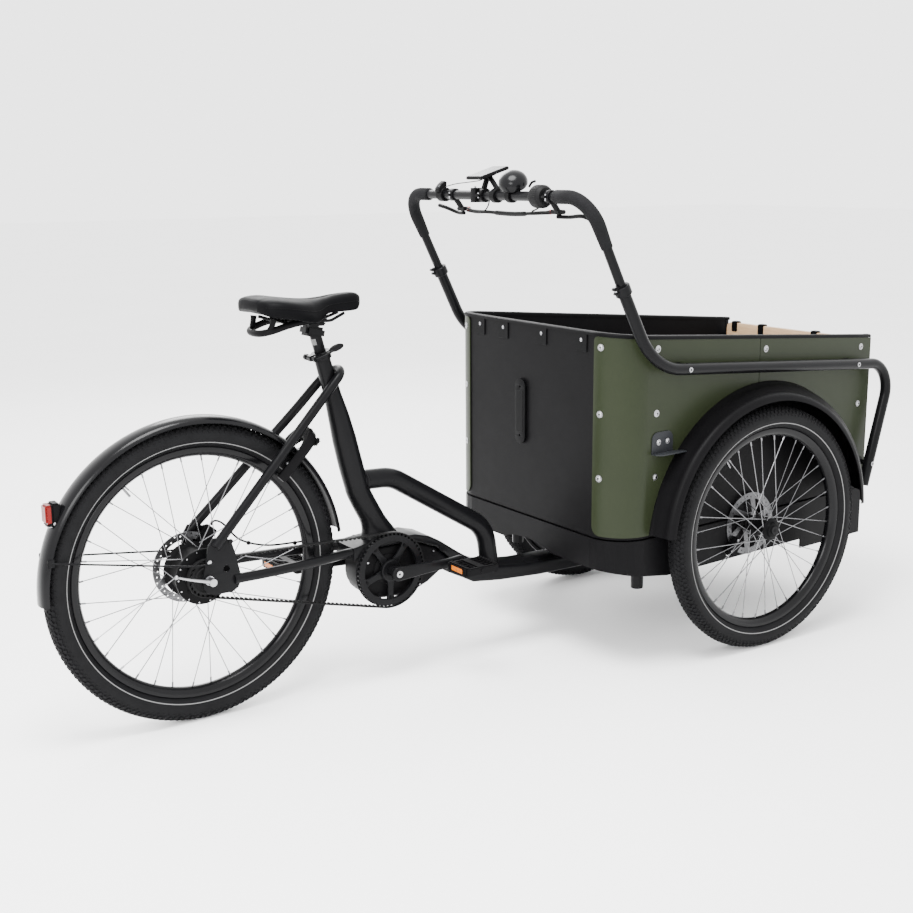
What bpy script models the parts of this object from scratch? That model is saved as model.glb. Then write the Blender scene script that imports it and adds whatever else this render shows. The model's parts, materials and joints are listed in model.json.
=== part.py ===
"""Three-wheeled cargo bicycle with a steered front box, one named object per physical piece.

Metres, +Z up, +X forward, +Y to the rider's left. The wheels stand on z = 0 and the model's
origin is the centre of its footprint. Inside the script every place is measured from the point
on the ground below the rear axle, and the empty "rear_axle_datum" carries all pieces from there
to the model's origin. Each moving group hangs on an empty that sits on its joint's axis.
"""

import math

import bmesh
import bpy
from mathutils import Matrix, Vector

# ---------------------------------------------------------------- driving dimensions
GAP = 0.0003  # running and assembly gap between touching pieces
WHEEL_STEPS = 40  # facets round a wheel; a flat one faces the ground
REAR_TYRE_RADIUS = 0.3345  # 55-559
FRONT_TYRE_RADIUS = 0.3085  # 55-507
TYRE_WIDTH = 0.055
TYRE_HEIGHT = 0.055  # tread to bead
RIM_DEPTH = 0.021
RIM_WIDTH = 0.030
WHEELBASE = 1.355
TRACK_HALF = 0.3687
DATUM_X = -0.7689  # rear axle, seen from the centre of the footprint

CRANK_X = 0.457
CRANK_Z = 0.273
CRANK_LENGTH = 0.170
BELT_PITCH = 0.011
RING_TEETH = 50
SPROCKET_TEETH = 22
BELT_Y = -0.052
BELT_WIDTH = 0.011

STEER_X = 1.200  # vertical steering pin under the box

BOX_REAR = 0.8918
BOX_FRONT = 1.835
BOX_HALF_REAR = 0.3423
BOX_HALF_FRONT = 0.2717
BOX_CORNER = 0.0918
BOX_BASE = 0.330
RIM_HEIGHT = 0.8197  # rim at the rear wall
RIM_SLOPE = 0.0757  # fall of the rim for each metre forward
BOX_WALL = 0.010
PANEL_THICK = 0.003
SKIRT_THICK = 0.005
ARCH_X = 1.396  # elliptical wheel arch in the side panels
ARCH_Z = 0.290
ARCH_HALF_LENGTH = 0.400
ARCH_HEIGHT = 0.375

RAIL_RADIUS = 0.014
RAIL_STANDOFF = 0.033
RAIL_DROP = 0.0756  # rail's axis below the rim
BAR_RADIUS = 0.0111
BAR_X = 0.7758
BAR_Z = 1.1265
BAR_HALF = 0.3730
LEG_LEAN = 0.4966  # run back for each metre up
SLEEVE_TOP = 0.935
LEVER_LEFT = 0.150
LEVER_RIGHT = -0.238

SEAT_TOP = Vector((0.3179, 0, 0.7887))
SEAT_AXIS = Vector((-0.2816, 0, 1.0)).normalized()
SEAT_AHEAD = Vector((0, 1, 0)).cross(SEAT_AXIS)
SEAT_TUBE_RADIUS = 0.0175
POST_RADIUS = 0.0133

GUARD_HUB = (0.0049, 0.3326)  # centre of the rear mudguard's curve
GUARD_RADIUS = 0.3480

REAR_AXLE_Z = REAR_TYRE_RADIUS * math.cos(math.pi / WHEEL_STEPS)
FRONT_AXLE_Z = FRONT_TYRE_RADIUS * math.cos(math.pi / WHEEL_STEPS)
BOX_TAPER_START = BOX_REAR + BOX_CORNER
BOX_TAPER = (BOX_HALF_REAR - BOX_HALF_FRONT) / (BOX_FRONT - BOX_TAPER_START)
RING_RADIUS = RING_TEETH * BELT_PITCH / math.tau
SPROCKET_RADIUS = SPROCKET_TEETH * BELT_PITCH / math.tau


# ---------------------------------------------------------------- scene and materials
for old in list(bpy.data.objects):
    bpy.data.objects.remove(old, do_unlink=True)

PARTS = bpy.data.collections.new("cargo_bicycle")
CUTTERS = bpy.data.collections.new("cutters")
bpy.context.scene.collection.children.link(PARTS)
bpy.context.scene.collection.children.link(CUTTERS)
CUTTERS.hide_render = True


def material(name, colour, roughness, metallic=0.0):
    made = bpy.data.materials.new(name)
    made.use_nodes = True
    shader = made.node_tree.nodes["Principled BSDF"]
    shader.inputs["Base Color"].default_value = (*colour, 1.0)
    shader.inputs["Roughness"].default_value = roughness
    shader.inputs["Metallic"].default_value = metallic
    return made


FRAME_BLACK = material("frame_black", (0.012, 0.012, 0.013), 0.45)
PLASTIC_BLACK = material("plastic_black", (0.018, 0.018, 0.020), 0.55)
GLOSS_BLACK = material("gloss_black", (0.010, 0.010, 0.012), 0.20)
PANEL_GREEN = material("panel_green", (0.098, 0.122, 0.053), 0.42)
TYRE_RUBBER = material("tyre_rubber", (0.020, 0.020, 0.021), 0.80)
BELT_RUBBER = material("belt_rubber", (0.015, 0.015, 0.015), 0.65)
STEEL = material("steel", (0.60, 0.60, 0.60), 0.30, 1.0)
SADDLE_VINYL = material("saddle_vinyl", (0.014, 0.014, 0.015), 0.45)
FOAM = material("grip_foam", (0.016, 0.016, 0.017), 0.85)
PLYWOOD = material("plywood", (0.52, 0.34, 0.18), 0.50)
LAMP_RED = material("lamp_red", (0.55, 0.02, 0.02), 0.15)


# ---------------------------------------------------------------- building blocks
def empty(name, place=(0, 0, 0), parent=None):
    made = bpy.data.objects.new(name, None)
    made.location = place
    made.parent = parent
    PARTS.objects.link(made)
    return made


DATUM = empty("rear_axle_datum", (DATUM_X, 0, 0))


def pivot(name, place, parent=None):
    """An empty on a joint's axis. place is measured from the datum."""
    parent = parent or DATUM
    made = empty(name, Vector(place) - home(parent), parent)
    return made


def home(parent):
    """Where an empty stands, measured from the datum."""
    place = Vector((0, 0, 0))
    while parent is not None and parent is not DATUM:
        place += parent.location
        parent = parent.parent
    return place


def adopt(obj, name, mat, parent):
    """Names a piece that was built in datum coordinates and hangs it on its parent."""
    parent = parent or DATUM
    obj.name = name
    obj.data.name = name
    obj.data.materials.clear()
    obj.data.materials.append(mat)
    obj.data.transform(Matrix.Translation(-home(parent)) @ obj.matrix_basis)
    obj.matrix_basis = Matrix.Identity(4)
    obj.parent = parent
    return obj


def from_bmesh(bm):
    mesh = bpy.data.meshes.new("piece")
    bm.normal_update()
    bm.to_mesh(mesh)
    bm.free()
    obj = bpy.data.objects.new("piece", mesh)
    PARTS.objects.link(obj)
    return obj


def settled(obj):
    """The object with its modifiers or its curve turned into a welded mesh."""
    graph = bpy.context.evaluated_depsgraph_get()
    mesh = bpy.data.meshes.new_from_object(obj.evaluated_get(graph))
    bm = bmesh.new()
    bm.from_mesh(mesh)
    bmesh.ops.remove_doubles(bm, verts=bm.verts, dist=0.00001)
    bm.to_mesh(mesh)
    bm.free()
    made = bpy.data.objects.new("piece", mesh)
    made.matrix_world = obj.matrix_world.copy()
    PARTS.objects.link(made)
    bpy.data.objects.remove(obj, do_unlink=True)
    return made


def block(size, centre, bevel=0.0, turn=None):
    bm = bmesh.new()
    bmesh.ops.create_cube(bm, size=1.0)
    bmesh.ops.scale(bm, vec=size, verts=bm.verts)
    obj = from_bmesh(bm)
    if bevel:
        soft = obj.modifiers.new("edges", "BEVEL")
        soft.width = bevel
        soft.segments = 1
        soft.limit_method = "ANGLE"
        obj = settled(obj)
    place(obj, centre, turn)
    return obj


def place(obj, centre, turn=None):
    turn = turn or Matrix.Identity(4)
    obj.data.transform(Matrix.Translation(centre) @ turn)


def rod(start, end, radius, sides=16, end_radius=None):
    """A cylinder or cone from start to end."""
    start = Vector(start)
    end = Vector(end)
    along = end - start
    bm = bmesh.new()
    bmesh.ops.create_cone(
        bm,
        cap_ends=True,
        segments=sides,
        radius1=radius,
        radius2=end_radius if end_radius is not None else radius,
        depth=along.length,
    )
    obj = from_bmesh(bm)
    place(obj, (start + end) / 2, along.to_track_quat("Z", "Y").to_matrix().to_4x4())
    return obj


def turned(profile, steps, centre, axis="Y", phase=0.0):
    """A ring or a solid turned about an axis; profile is closed (radius, height) pairs."""
    bm = bmesh.new()
    points = [bm.verts.new((radius, 0, height)) for radius, height in profile]
    for one, two in zip(points, points[1:] + points[:1]):
        if one.co.x > 1e-6 or two.co.x > 1e-6:
            bm.edges.new((one, two))
    obj = from_bmesh(bm)
    spin = obj.modifiers.new("turn", "SCREW")
    spin.steps = steps
    spin.render_steps = steps
    spin.use_merge_vertices = True
    spin.merge_threshold = 0.00001
    spin.use_normal_calculate = True
    obj = settled(obj)
    outward(obj)
    turn = Matrix.Rotation(phase, 4, "Z")
    if axis == "Y":
        turn = Matrix.Rotation(-math.pi / 2, 4, "X") @ turn
    place(obj, centre, turn)
    return obj


def outward(obj):
    bm = bmesh.new()
    bm.from_mesh(obj.data)
    bmesh.ops.recalc_face_normals(bm, faces=bm.faces)
    bm.to_mesh(obj.data)
    bm.free()


def sweep(path, radius, resolution=4, radii=None):
    """A round tube along a list of points; radii scales the radius at each point."""
    curve = bpy.data.curves.new("path", "CURVE")
    curve.dimensions = "3D"
    curve.bevel_depth = radius
    curve.bevel_resolution = resolution
    curve.use_fill_caps = True
    spline = curve.splines.new("POLY")
    spline.points.add(len(path) - 1)
    for index, point in enumerate(path):
        spline.points[index].co = (*point, 1.0)
        spline.points[index].radius = radii[index] if radii else 1.0
    obj = bpy.data.objects.new("piece", curve)
    PARTS.objects.link(obj)
    obj = settled(obj)
    outward(obj)
    return obj


def slab(outlines, thickness, centre=(0, 0, 0), upright=True):
    """A flat plate from closed outlines, the later ones being holes. Upright plates lie in XZ."""
    curve = bpy.data.curves.new("outline", "CURVE")
    curve.dimensions = "2D"
    curve.fill_mode = "BOTH"
    curve.extrude = thickness / 2
    for outline in outlines:
        spline = curve.splines.new("POLY")
        spline.points.add(len(outline) - 1)
        for index, (across, up) in enumerate(outline):
            spline.points[index].co = (across, up, 0.0, 1.0)
        spline.use_cyclic_u = True
    obj = bpy.data.objects.new("piece", curve)
    PARTS.objects.link(obj)
    obj = settled(obj)
    outward(obj)
    if len(outlines) == 1:
        flatten_caps(obj)
    turn = Matrix.Rotation(math.pi / 2, 4, "X") if upright else None
    place(obj, centre, turn)
    return obj


def flatten_caps(obj):
    """Makes one face of each triangulated flat side."""
    bm = bmesh.new()
    bm.from_mesh(obj.data)
    bmesh.ops.dissolve_limit(bm, angle_limit=0.001, verts=bm.verts, edges=bm.edges)
    bm.to_mesh(obj.data)
    bm.free()


def combine(obj, others, operation):
    """Joins the others to the object, or cuts them from it."""
    for other in others:
        change = obj.modifiers.new(operation.lower(), "BOOLEAN")
        change.operation = operation
        change.object = other
        change.solver = "EXACT"
        joined = settled(obj)
        bpy.data.objects.remove(other, do_unlink=True)
        obj = joined
    return obj


def union(obj, *others):
    return combine(obj, others, "UNION")


def cut(obj, *others):
    return combine(obj, others, "DIFFERENCE")


def softened(obj, width, segments=2):
    """Rounds the hard edges of a finished mesh."""
    soft = obj.modifiers.new("edges", "BEVEL")
    soft.width = width
    soft.segments = segments
    soft.limit_method = "ANGLE"
    soft.angle_limit = math.radians(50)
    return settled(obj)


def rounded(corners, radii, steps=5):
    """A path through corner points, each inner corner replaced by an arc of its radius."""
    path = [Vector(corners[0])]
    for before, corner, after, radius in zip(corners, corners[1:], corners[2:], radii):
        corner = Vector(corner)
        back = (Vector(before) - corner).normalized()
        ahead = (Vector(after) - corner).normalized()
        half = back.angle(ahead) / 2
        reach = radius / math.tan(half)
        centre = corner + (back + ahead).normalized() * (radius / math.sin(half))
        first = (corner + back * reach - centre).normalized()
        last = (corner + ahead * reach - centre).normalized()
        for step in range(steps + 1):
            path.append(centre + first.slerp(last, step / steps) * radius)
    path.append(Vector(corners[-1]))
    return path


def smooth(points, steps=4):
    """A Catmull-Rom curve through the points."""
    points = [Vector(point) for point in points]
    ends = [2 * points[0] - points[1], *points, 2 * points[-1] - points[-2]]
    path = []
    for p0, p1, p2, p3 in zip(ends, ends[1:], ends[2:], ends[3:]):
        for step in range(steps):
            t = step / steps
            path.append(
                0.5 * (2 * p1 + (p2 - p0) * t + (2 * p0 - 5 * p1 + 4 * p2 - p3) * t**2
                + (3 * p1 - p0 - 3 * p2 + p3) * t**3)
            )
    path.append(points[-1])
    return path


def circle(x, z, radius, steps, start=0.0, sweep_angle=math.tau):
    """Points round a circle; the last one is left out when the circle closes."""
    count = steps if abs(sweep_angle) >= math.tau else steps + 1
    return [
        (
            x + radius * math.cos(start + sweep_angle * step / steps),
            z + radius * math.sin(start + sweep_angle * step / steps),
        )
        for step in range(count)
    ]


# ---------------------------------------------------------------- wheels
def tyre(radius, centre):
    """A C-shaped casing, open at the beads."""
    outer = TYRE_WIDTH / 2
    inner = outer - 0.0045
    crown = radius - outer
    bead = radius - TYRE_HEIGHT + GAP
    profile = [(bead, -0.0115), (crown + 0.005, -outer), (radius, -0.011), (radius, 0.011)]
    profile += [(crown + 0.005, outer), (bead, 0.0115), (bead, 0.0075)]
    profile += [(crown + inner * 0.8, 0), (bead, -0.0075)]
    return turned(profile, WHEEL_STEPS, centre, phase=math.pi / WHEEL_STEPS)


def rim(radius, centre, flange_radius, flange_half, shift, spokes=12):
    """The rim with its spokes, which reach from the hub flanges to the rim bed."""
    seat = radius - TYRE_HEIGHT
    half = RIM_WIDTH / 2
    foot = seat - RIM_DEPTH
    profile = [(seat, -half), (seat, half), (seat - 0.010, half), (foot, 0)]
    profile += [(seat - 0.010, -half)]
    hoop = turned(profile, WHEEL_STEPS, (0, 0, 0), phase=math.pi / WHEEL_STEPS)
    rods = []
    for index in range(spokes):
        side = 1 if index % 2 else -1
        angle = math.tau * (index + 0.5) / spokes
        away = Vector((math.cos(angle), 0, math.sin(angle)))
        start = away * (flange_radius + GAP) + Vector((0, shift + side * flange_half, 0))
        rods.append(rod(start, away * (foot + 0.006), 0.0012, sides=4))
    hoop = union(hoop, *rods)
    place(hoop, centre)
    return hoop


def rotor(centre, bore):
    """A 160 mm disc."""
    thick = 0.0009
    profile = [(bore, -thick), (0.080, -thick), (0.080, thick), (bore, thick)]
    return turned(profile, 24, centre)


def rear_wheel():
    centre = (0, 0, REAR_AXLE_Z)
    wheel = pivot("rear_wheel_spin", centre)
    adopt(tyre(REAR_TYRE_RADIUS, centre), "rear_tyre", TYRE_RUBBER, wheel)
    laced = rim(REAR_TYRE_RADIUS, centre, 0.062, 0.034, -0.002)
    adopt(laced, "rear_rim", GLOSS_BLACK, wheel)
    profile = [(0.0063, -0.0445), (0.030, -0.0445), (0.062, -0.038), (0.062, -0.031)]
    profile += [(0.053, -0.027), (0.053, 0.027), (0.062, 0.031), (0.062, 0.036)]
    profile += [(0.021, 0.042), (0.021, 0.056), (0.0063, 0.056)]
    adopt(turned(profile, 20, centre), "rear_hub", PLASTIC_BLACK, wheel)
    disc = rotor((0, 0.0515, REAR_AXLE_Z), 0.0213)
    adopt(disc, "rear_rotor", STEEL, wheel)


def rear_sprocket():
    centre = (0, BELT_Y, REAR_AXLE_Z)
    spin = pivot("rear_sprocket_spin", centre)
    half = BELT_WIDTH / 2
    root = SPROCKET_RADIUS - 0.0015
    profile = [(0.0063, -half), (root, -half), (root, half), (0.0063, half)]
    adopt(turned(profile, 18, centre), "rear_sprocket", STEEL, spin)


def rear_axle():
    """Axle with its two nuts, clamped in the dropouts."""
    shaft = rod((0, -0.086, REAR_AXLE_Z), (0, 0.086, REAR_AXLE_Z), 0.006)
    nuts = [
        rod((0, side * 0.0726, REAR_AXLE_Z), (0, side * 0.082, REAR_AXLE_Z), 0.0105, 6)
        for side in (-1, 1)
    ]
    adopt(union(shaft, *nuts), "rear_axle", STEEL, None)


def front_wheel(side, label):
    """A wheel on a stub axle: hub, rotor on the box side, rim with spokes, tyre."""
    centre = (WHEELBASE, side * TRACK_HALF, FRONT_AXLE_Z)
    wheel = pivot(f"front_wheel_{label}_spin", centre)
    adopt(tyre(FRONT_TYRE_RADIUS, centre), f"front_tyre_{label}", TYRE_RUBBER, wheel)
    laced = rim(FRONT_TYRE_RADIUS, centre, 0.0285, 0.022, 0.0)
    adopt(laced, f"front_rim_{label}", GLOSS_BLACK, wheel)
    bore = 0.0103
    profile = [(bore, -0.050), (0.080, -0.050), (0.080, -0.0482), (0.021, -0.0482)]
    profile += [(0.0285, -0.024), (0.0285, -0.020), (0.017, -0.016), (0.017, 0.016)]
    profile += [(0.0285, 0.020), (0.0285, 0.024), (0.017, 0.034), (bore, 0.034)]
    hub = turned([(r, side * y) for r, y in profile], 20, centre)
    adopt(hub, f"front_hub_{label}", PLASTIC_BLACK, wheel)


# ---------------------------------------------------------------- rear frame
def seat_tube_foot():
    """The flared end of the seat tube on the motor bracket, from level ovals."""
    levels = [(0.402, 0.4353, 0.0310, 0.0278), (0.380, 0.4475, 0.0345, 0.0290), (0.362, 0.4560, 0.0400, 0.0310)]
    levels += [(0.350, 0.4600, 0.0465, 0.0340), (0.3385, 0.4620, 0.0540, 0.0380)]
    bm = bmesh.new()
    rings = [[bm.verts.new((x, y, z)) for x, y in
              ((middle + long * a, wide * b) for a, b in circle(0, 0, 1.0, 16))]
             for z, middle, long, wide in levels]
    for one, two in zip(rings, rings[1:]):
        for index in range(16):
            after = (index + 1) % 16
            bm.faces.new((one[index], one[after], two[after], two[index]))
    bm.faces.new(rings[0])
    bm.faces.new(rings[-1][::-1])
    bmesh.ops.recalc_face_normals(bm, faces=bm.faces)
    return from_bmesh(bm)


def rear_frame():
    """Seat tube, curved main tube, motor bracket, beam and steering head, welded into one."""
    seat_path = [SEAT_TOP, SEAT_TOP - SEAT_AXIS * 0.1, (0.3581, 0, 0.6458), (0.3720, 0, 0.5886)]
    seat_path += [(0.3861, 0, 0.5306), (0.4000, 0, 0.4790), (0.4110, 0, 0.4469), (0.4580, 0, 0.360)]
    swell = [1.0, 1.15, 1.37, 1.58, 1.63, 1.62, 1.60, 1.62]
    seat_tube = sweep(seat_path, SEAT_TUBE_RADIUS, 5, swell)
    main_path = rounded(
        [(0.400, 0, 0.485), (0.4950, 0, 0.4812), (0.7615, 0, 0.318), (0.7775, 0, 0.200)],
        [0.10, 0.090],
        4,
    )
    main_tube = sweep(main_path, 0.0236, 4)
    top_line = [(0.3660, 0.337), (0.430, 0.3450), (0.535, 0.3440), (0.603, 0.318)]
    top_line += [(0.649, 0.286), (0.697, 0.255), (0.745, 0.234), (0.780, 0.225)]
    low_line = [(0.900, 0.181), (0.780, 0.188), (0.700, 0.197), (0.662, 0.217), (0.6300, 0.233)]
    low_line += [(0.6300, 0.2725), (0.5915, 0.3045), (0.5275, 0.3290), (0.436, 0.3282)]
    low_line += [(0.396, 0.3130), (0.3660, 0.3050)]
    outline = top_line + [(0.860, 0.217), (STEER_X, 0.212), (STEER_X, 0.180)] + low_line
    spine = softened(slab([outline], 0.090), 0.005, 1)
    head = rod((STEER_X, 0, 0.172), (STEER_X, 0, 0.246), 0.034, 16)
    frame = union(seat_tube, main_tube, spine, head, seat_tube_foot())
    post_bore = rod(SEAT_TOP + SEAT_AXIS * 0.02, SEAT_TOP - SEAT_AXIS * 0.190, POST_RADIUS + GAP, 16)
    pin_bore = rod((STEER_X, 0, 0.1), (STEER_X, 0, 0.3), 0.0153, 16)
    adopt(cut(frame, post_bore, pin_bore), "rear_frame", FRAME_BLACK, None)


def rear_triangle():
    """Dropouts, chain stays and the seat stays, which loop round the front of the seat tube."""
    drop = [(-0.014, 0.318), (0.010, 0.299), (0.052, 0.299), (0.072, 0.318), (0.072, 0.340)]
    drop += [(0.062, 0.385), (0.050, 0.416), (0.012, 0.424), (-0.006, 0.372)]
    y_out = 0.0695
    sides = []
    for side in (-1, 1):
        plate = slab([drop], 0.006, (0, side * y_out, 0))
        path = [(0.058, side * y_out, 0.326), (0.150, side * 0.067, 0.326)]
        path += [(0.250, side * 0.057, 0.326), (0.3635, side * 0.0335, 0.326)]
        stay = sweep(smooth(path, 2), 0.0110, 2)
        sides += [plate, stay]
    half = [(0.0149, -0.0745, 0.405), (0.0601, -0.0682, 0.450), (0.165, -0.0536, 0.5545)]
    half += [(0.2711, -0.0387, 0.660), (0.322, -0.0332, 0.712), (0.350, -0.0258, 0.7385)]
    half += [(0.3618, 0.0, 0.748)]
    whole = half + [(x, -y, z) for x, y, z in reversed(half[:-1])]
    hoop = sweep(smooth(whole, 2), 0.0105, 2)
    joined = union(hoop, *sides)
    bore = rod((0, -0.1, REAR_AXLE_Z), (0, 0.1, REAR_AXLE_Z), 0.0063, 12)
    adopt(cut(joined, bore), "rear_triangle", FRAME_BLACK, None)


def motor_unit():
    """Mid motor that fills the space below its bracket."""
    outline = [(0.3930, 0.3030), (0.3970, 0.3115), (0.4365, 0.3270), (0.5270, 0.3278)]
    outline += [(0.5905, 0.3035), (0.6290, 0.2715), (0.6290, 0.2560), (0.600, 0.2370)]
    outline += [(0.572, 0.219), (0.545, 0.2085), (0.500, 0.2000), (0.432, 0.203), (0.400, 0.225)]
    outline += [(0.387, 0.262)]
    casing = softened(slab([outline], 0.084, (0, 0.003, 0)), 0.008, 1)
    boss = rod((CRANK_X, -0.038, CRANK_Z), (CRANK_X, -0.0420, CRANK_Z), 0.030, 16)
    cover = rod((0.548, 0.040, 0.260), (0.548, 0.056, 0.260), 0.044, 16, 0.039)
    bore = rod((CRANK_X, -0.1, CRANK_Z), (CRANK_X, 0.1, CRANK_Z), 0.0125, 16)
    adopt(cut(union(casing, boss, cover), bore), "motor_unit", PLASTIC_BLACK, None)


def drive_belt():
    """One endless band round the chain ring and the rear sprocket, with room for both to turn."""
    lift = 0.0012
    thick = 0.0030
    span = Vector((CRANK_X, CRANK_Z - REAR_AXLE_Z))
    lean = math.atan2(span.y, span.x)
    open_angle = math.acos((SPROCKET_RADIUS - RING_RADIUS) / span.length)

    def band(extra):
        small = circle(0, REAR_AXLE_Z, SPROCKET_RADIUS + extra, 12, lean + open_angle,
                       math.tau - 2 * open_angle)
        large = circle(CRANK_X, CRANK_Z, RING_RADIUS + extra, 20, lean - open_angle, 2 * open_angle)
        return small + large

    belt = slab([band(lift + thick), band(lift)], BELT_WIDTH, (0, BELT_Y, 0))
    adopt(belt, "drive_belt", BELT_RUBBER, None)


def rear_mudguard():
    """A crowned blade over the rear wheel with one wire stay on each side."""
    hub_x, hub_z = GUARD_HUB
    half = [(GUARD_RADIUS - 0.0145, 0.0315), (GUARD_RADIUS - 0.002, 0.0200), (GUARD_RADIUS, 0.0)]
    outer = half + [(radius, -y) for radius, y in reversed(half[:-1])]
    inner = [(radius - 0.0017, y * 0.95) for radius, y in outer]
    bm = bmesh.new()
    rings = []
    steps = 20
    start = math.radians(8)
    end = math.radians(182)
    for step in range(steps + 1):
        angle = start + (end - start) * step / steps
        ring = [
            bm.verts.new((hub_x + r * math.cos(angle), y, hub_z + r * math.sin(angle)))
            for r, y in outer + inner[::-1]
        ]
        rings.append(ring)
    for one, two in zip(rings, rings[1:]):
        for index in range(len(one)):
            after = (index + 1) % len(one)
            bm.faces.new((one[index], one[after], two[after], two[index]))
    bm.faces.new(rings[0])
    bm.faces.new(rings[-1][::-1])
    bmesh.ops.recalc_face_normals(bm, faces=bm.faces)
    blade = from_bmesh(bm)
    wires = []
    for side in (-1, 1):
        angle = math.radians(165.8)
        reach = GUARD_RADIUS - 0.013
        rim_end = (hub_x + reach * math.cos(angle), side * 0.0302, hub_z + reach * math.sin(angle))
        wires.append(sweep([rim_end, (-0.030, side * 0.0752, 0.3698), (0.0075, side * 0.0752, 0.3698)],
                           0.0022, 0))
    adopt(union(blade, *wires), "rear_mudguard", GLOSS_BLACK, None)


def tail_lamp():
    body = block((0.034, 0.036, 0.050), (-0.3050, 0, 0.5105), 0.003)
    guard = rod((GUARD_HUB[0], -0.1, GUARD_HUB[1]), (GUARD_HUB[0], 0.1, GUARD_HUB[1]),
                GUARD_RADIUS + 0.0006, 96)
    adopt(cut(body, guard), "tail_lamp", LAMP_RED, None)


LOCK_ANGLE = math.radians(45)
LOCK_OUT = Vector((math.cos(LOCK_ANGLE), 0, math.sin(LOCK_ANGLE)))
LOCK_ALONG = Vector((math.sin(LOCK_ANGLE), 0, -math.cos(LOCK_ANGLE)))
LOCK_CENTRE = Vector((0, 0, REAR_AXLE_Z)) + LOCK_OUT * 0.335


def lock_frame():
    """Turns XZ outlines, X across the wheel and Z outwards, into the lock's tilted plane."""
    turn = Matrix((Vector((0, -1, 0)), LOCK_ALONG, LOCK_OUT)).transposed().to_4x4()
    return Matrix.Translation(LOCK_CENTRE) @ turn


def frame_lock():
    """A ring lock whose two arms reach round tyre and rim, and its sliding lever."""
    outer = circle(0, 0.024, 0.0465, 8, 0.0, math.pi)
    outer += [(-0.0465, -0.060), (-0.0365, -0.068)]
    inner = circle(0, 0.010, 0.0365, 8, math.pi, -math.pi)
    outline = outer + inner + [(0.0365, -0.068), (0.0465, -0.060)]
    body = softened(slab([outline], 0.024), 0.003, 1)
    body.data.transform(lock_frame())
    adopt(body, "frame_lock", PLASTIC_BLACK, None)
    lever_pivot = pivot("lock_lever_turn", LOCK_CENTRE)
    lever = block((0.016, 0.012, 0.022), (0.026, 0.0185, 0.052), 0.003)
    lever.data.transform(lock_frame())
    adopt(lever, "lock_lever", PLASTIC_BLACK, lever_pivot)


def seat_frame():
    """Local X ahead, local Z up the seat post, origin at the top of the collar."""
    turn = Matrix((SEAT_AHEAD, Vector((0, 1, 0)), SEAT_AXIS)).transposed().to_4x4()
    return Matrix.Translation(SEAT_TOP + SEAT_AXIS * 0.0036) @ turn


def seat_clamp():
    """Collar on the seat tube with a rear skewer, and its quick-release lever."""
    inside = SEAT_TUBE_RADIUS + 0.0013
    profile = [(inside, -0.018), (0.0222, -0.018), (0.0222, 0.0), (0.0140, 0.0), (0.0140, -0.0032)]
    profile += [(inside, -0.0032)]
    ring = turned(profile, 16, (0, 0, 0), axis="Z")
    ear = block((0.014, 0.022, 0.013), (-0.0262, 0, -0.006), 0.002)
    skewer = rod((-0.0280, 0.0245, -0.005), (-0.0280, -0.0220, -0.005), 0.0032, 8)
    nut = rod((-0.0280, 0.0105, -0.005), (-0.0280, 0.0225, -0.005), 0.0070, 8)
    collar = union(ring, ear, skewer, nut)
    collar.data.transform(seat_frame())
    adopt(collar, "seat_collar", FRAME_BLACK, None)
    swing = pivot("seat_lever_swing", seat_frame() @ Vector((-0.0280, -0.0290, -0.005)))
    path = smooth([(-0.0280, -0.0290, -0.005), (-0.006, -0.0340, -0.003),
                   (0.016, -0.0350, 0.001), (0.034, -0.0330, 0.004)], 2)
    lever = sweep(path, 0.0048, 2, [1.25, 1.1, 0.9, 0.9, 0.95, 1.0, 1.0])
    lever.data.transform(seat_frame())
    adopt(lever, "seat_lever", FRAME_BLACK, swing)


def saddle_group():
    """Seat post with clamp head and rails, padded saddle and the grab loop below it."""
    slide = pivot("seat_post_slide", SEAT_TOP)
    post_top = SEAT_TOP + SEAT_AXIS * 0.060
    post = rod(SEAT_TOP - SEAT_AXIS * 0.165, post_top, POST_RADIUS, 16)
    adopt(post, "seat_post", FRAME_BLACK, slide)
    clamp = block((0.050, 0.052, 0.020), (0.302, 0, post_top.z + 0.0142), 0.003)
    rails = []
    for side in (-1, 1):
        path = rounded(
            [(0.188, side * 0.040, 0.8755), (0.228, side * 0.022, 0.862),
             (0.335, side * 0.022, 0.862), (0.372, side * 0.014, 0.8755)],
            [0.03, 0.03], 2)
        rails.append(sweep(path, 0.0036, 1))
    adopt(union(clamp, *rails), "saddle_clamp", STEEL, slide)
    adopt(saddle(), "saddle", SADDLE_VINYL, slide)
    loop = [(0.262, -0.047, 0.868), (0.218, -0.052, 0.862), (0.178, -0.046, 0.851)]
    loop += [(0.160, -0.022, 0.845)]
    loop += [(x, -y, z) for x, y, z in reversed(loop)]
    grab = union(sweep(smooth(loop, 2), 0.0075, 2),
                 rod((0.252, -0.048, 0.8640), (0.252, 0.048, 0.8640), 0.0060, 8))
    hangers = [rod((0.176, side * 0.044, 0.852), (0.182, side * 0.050, 0.8765), 0.0065, 10)
               for side in (-1, 1)]
    cradle = block((0.014, 0.056, 0.018), (0.252, 0, 0.8635))
    slots = [rod((0.2, side * 0.022, 0.862), (0.3, side * 0.022, 0.862), 0.0044, 8)
             for side in (-1, 1)]
    adopt(cut(union(grab, cradle, *hangers), *slots), "grab_loop", PLASTIC_BLACK, slide)


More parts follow.
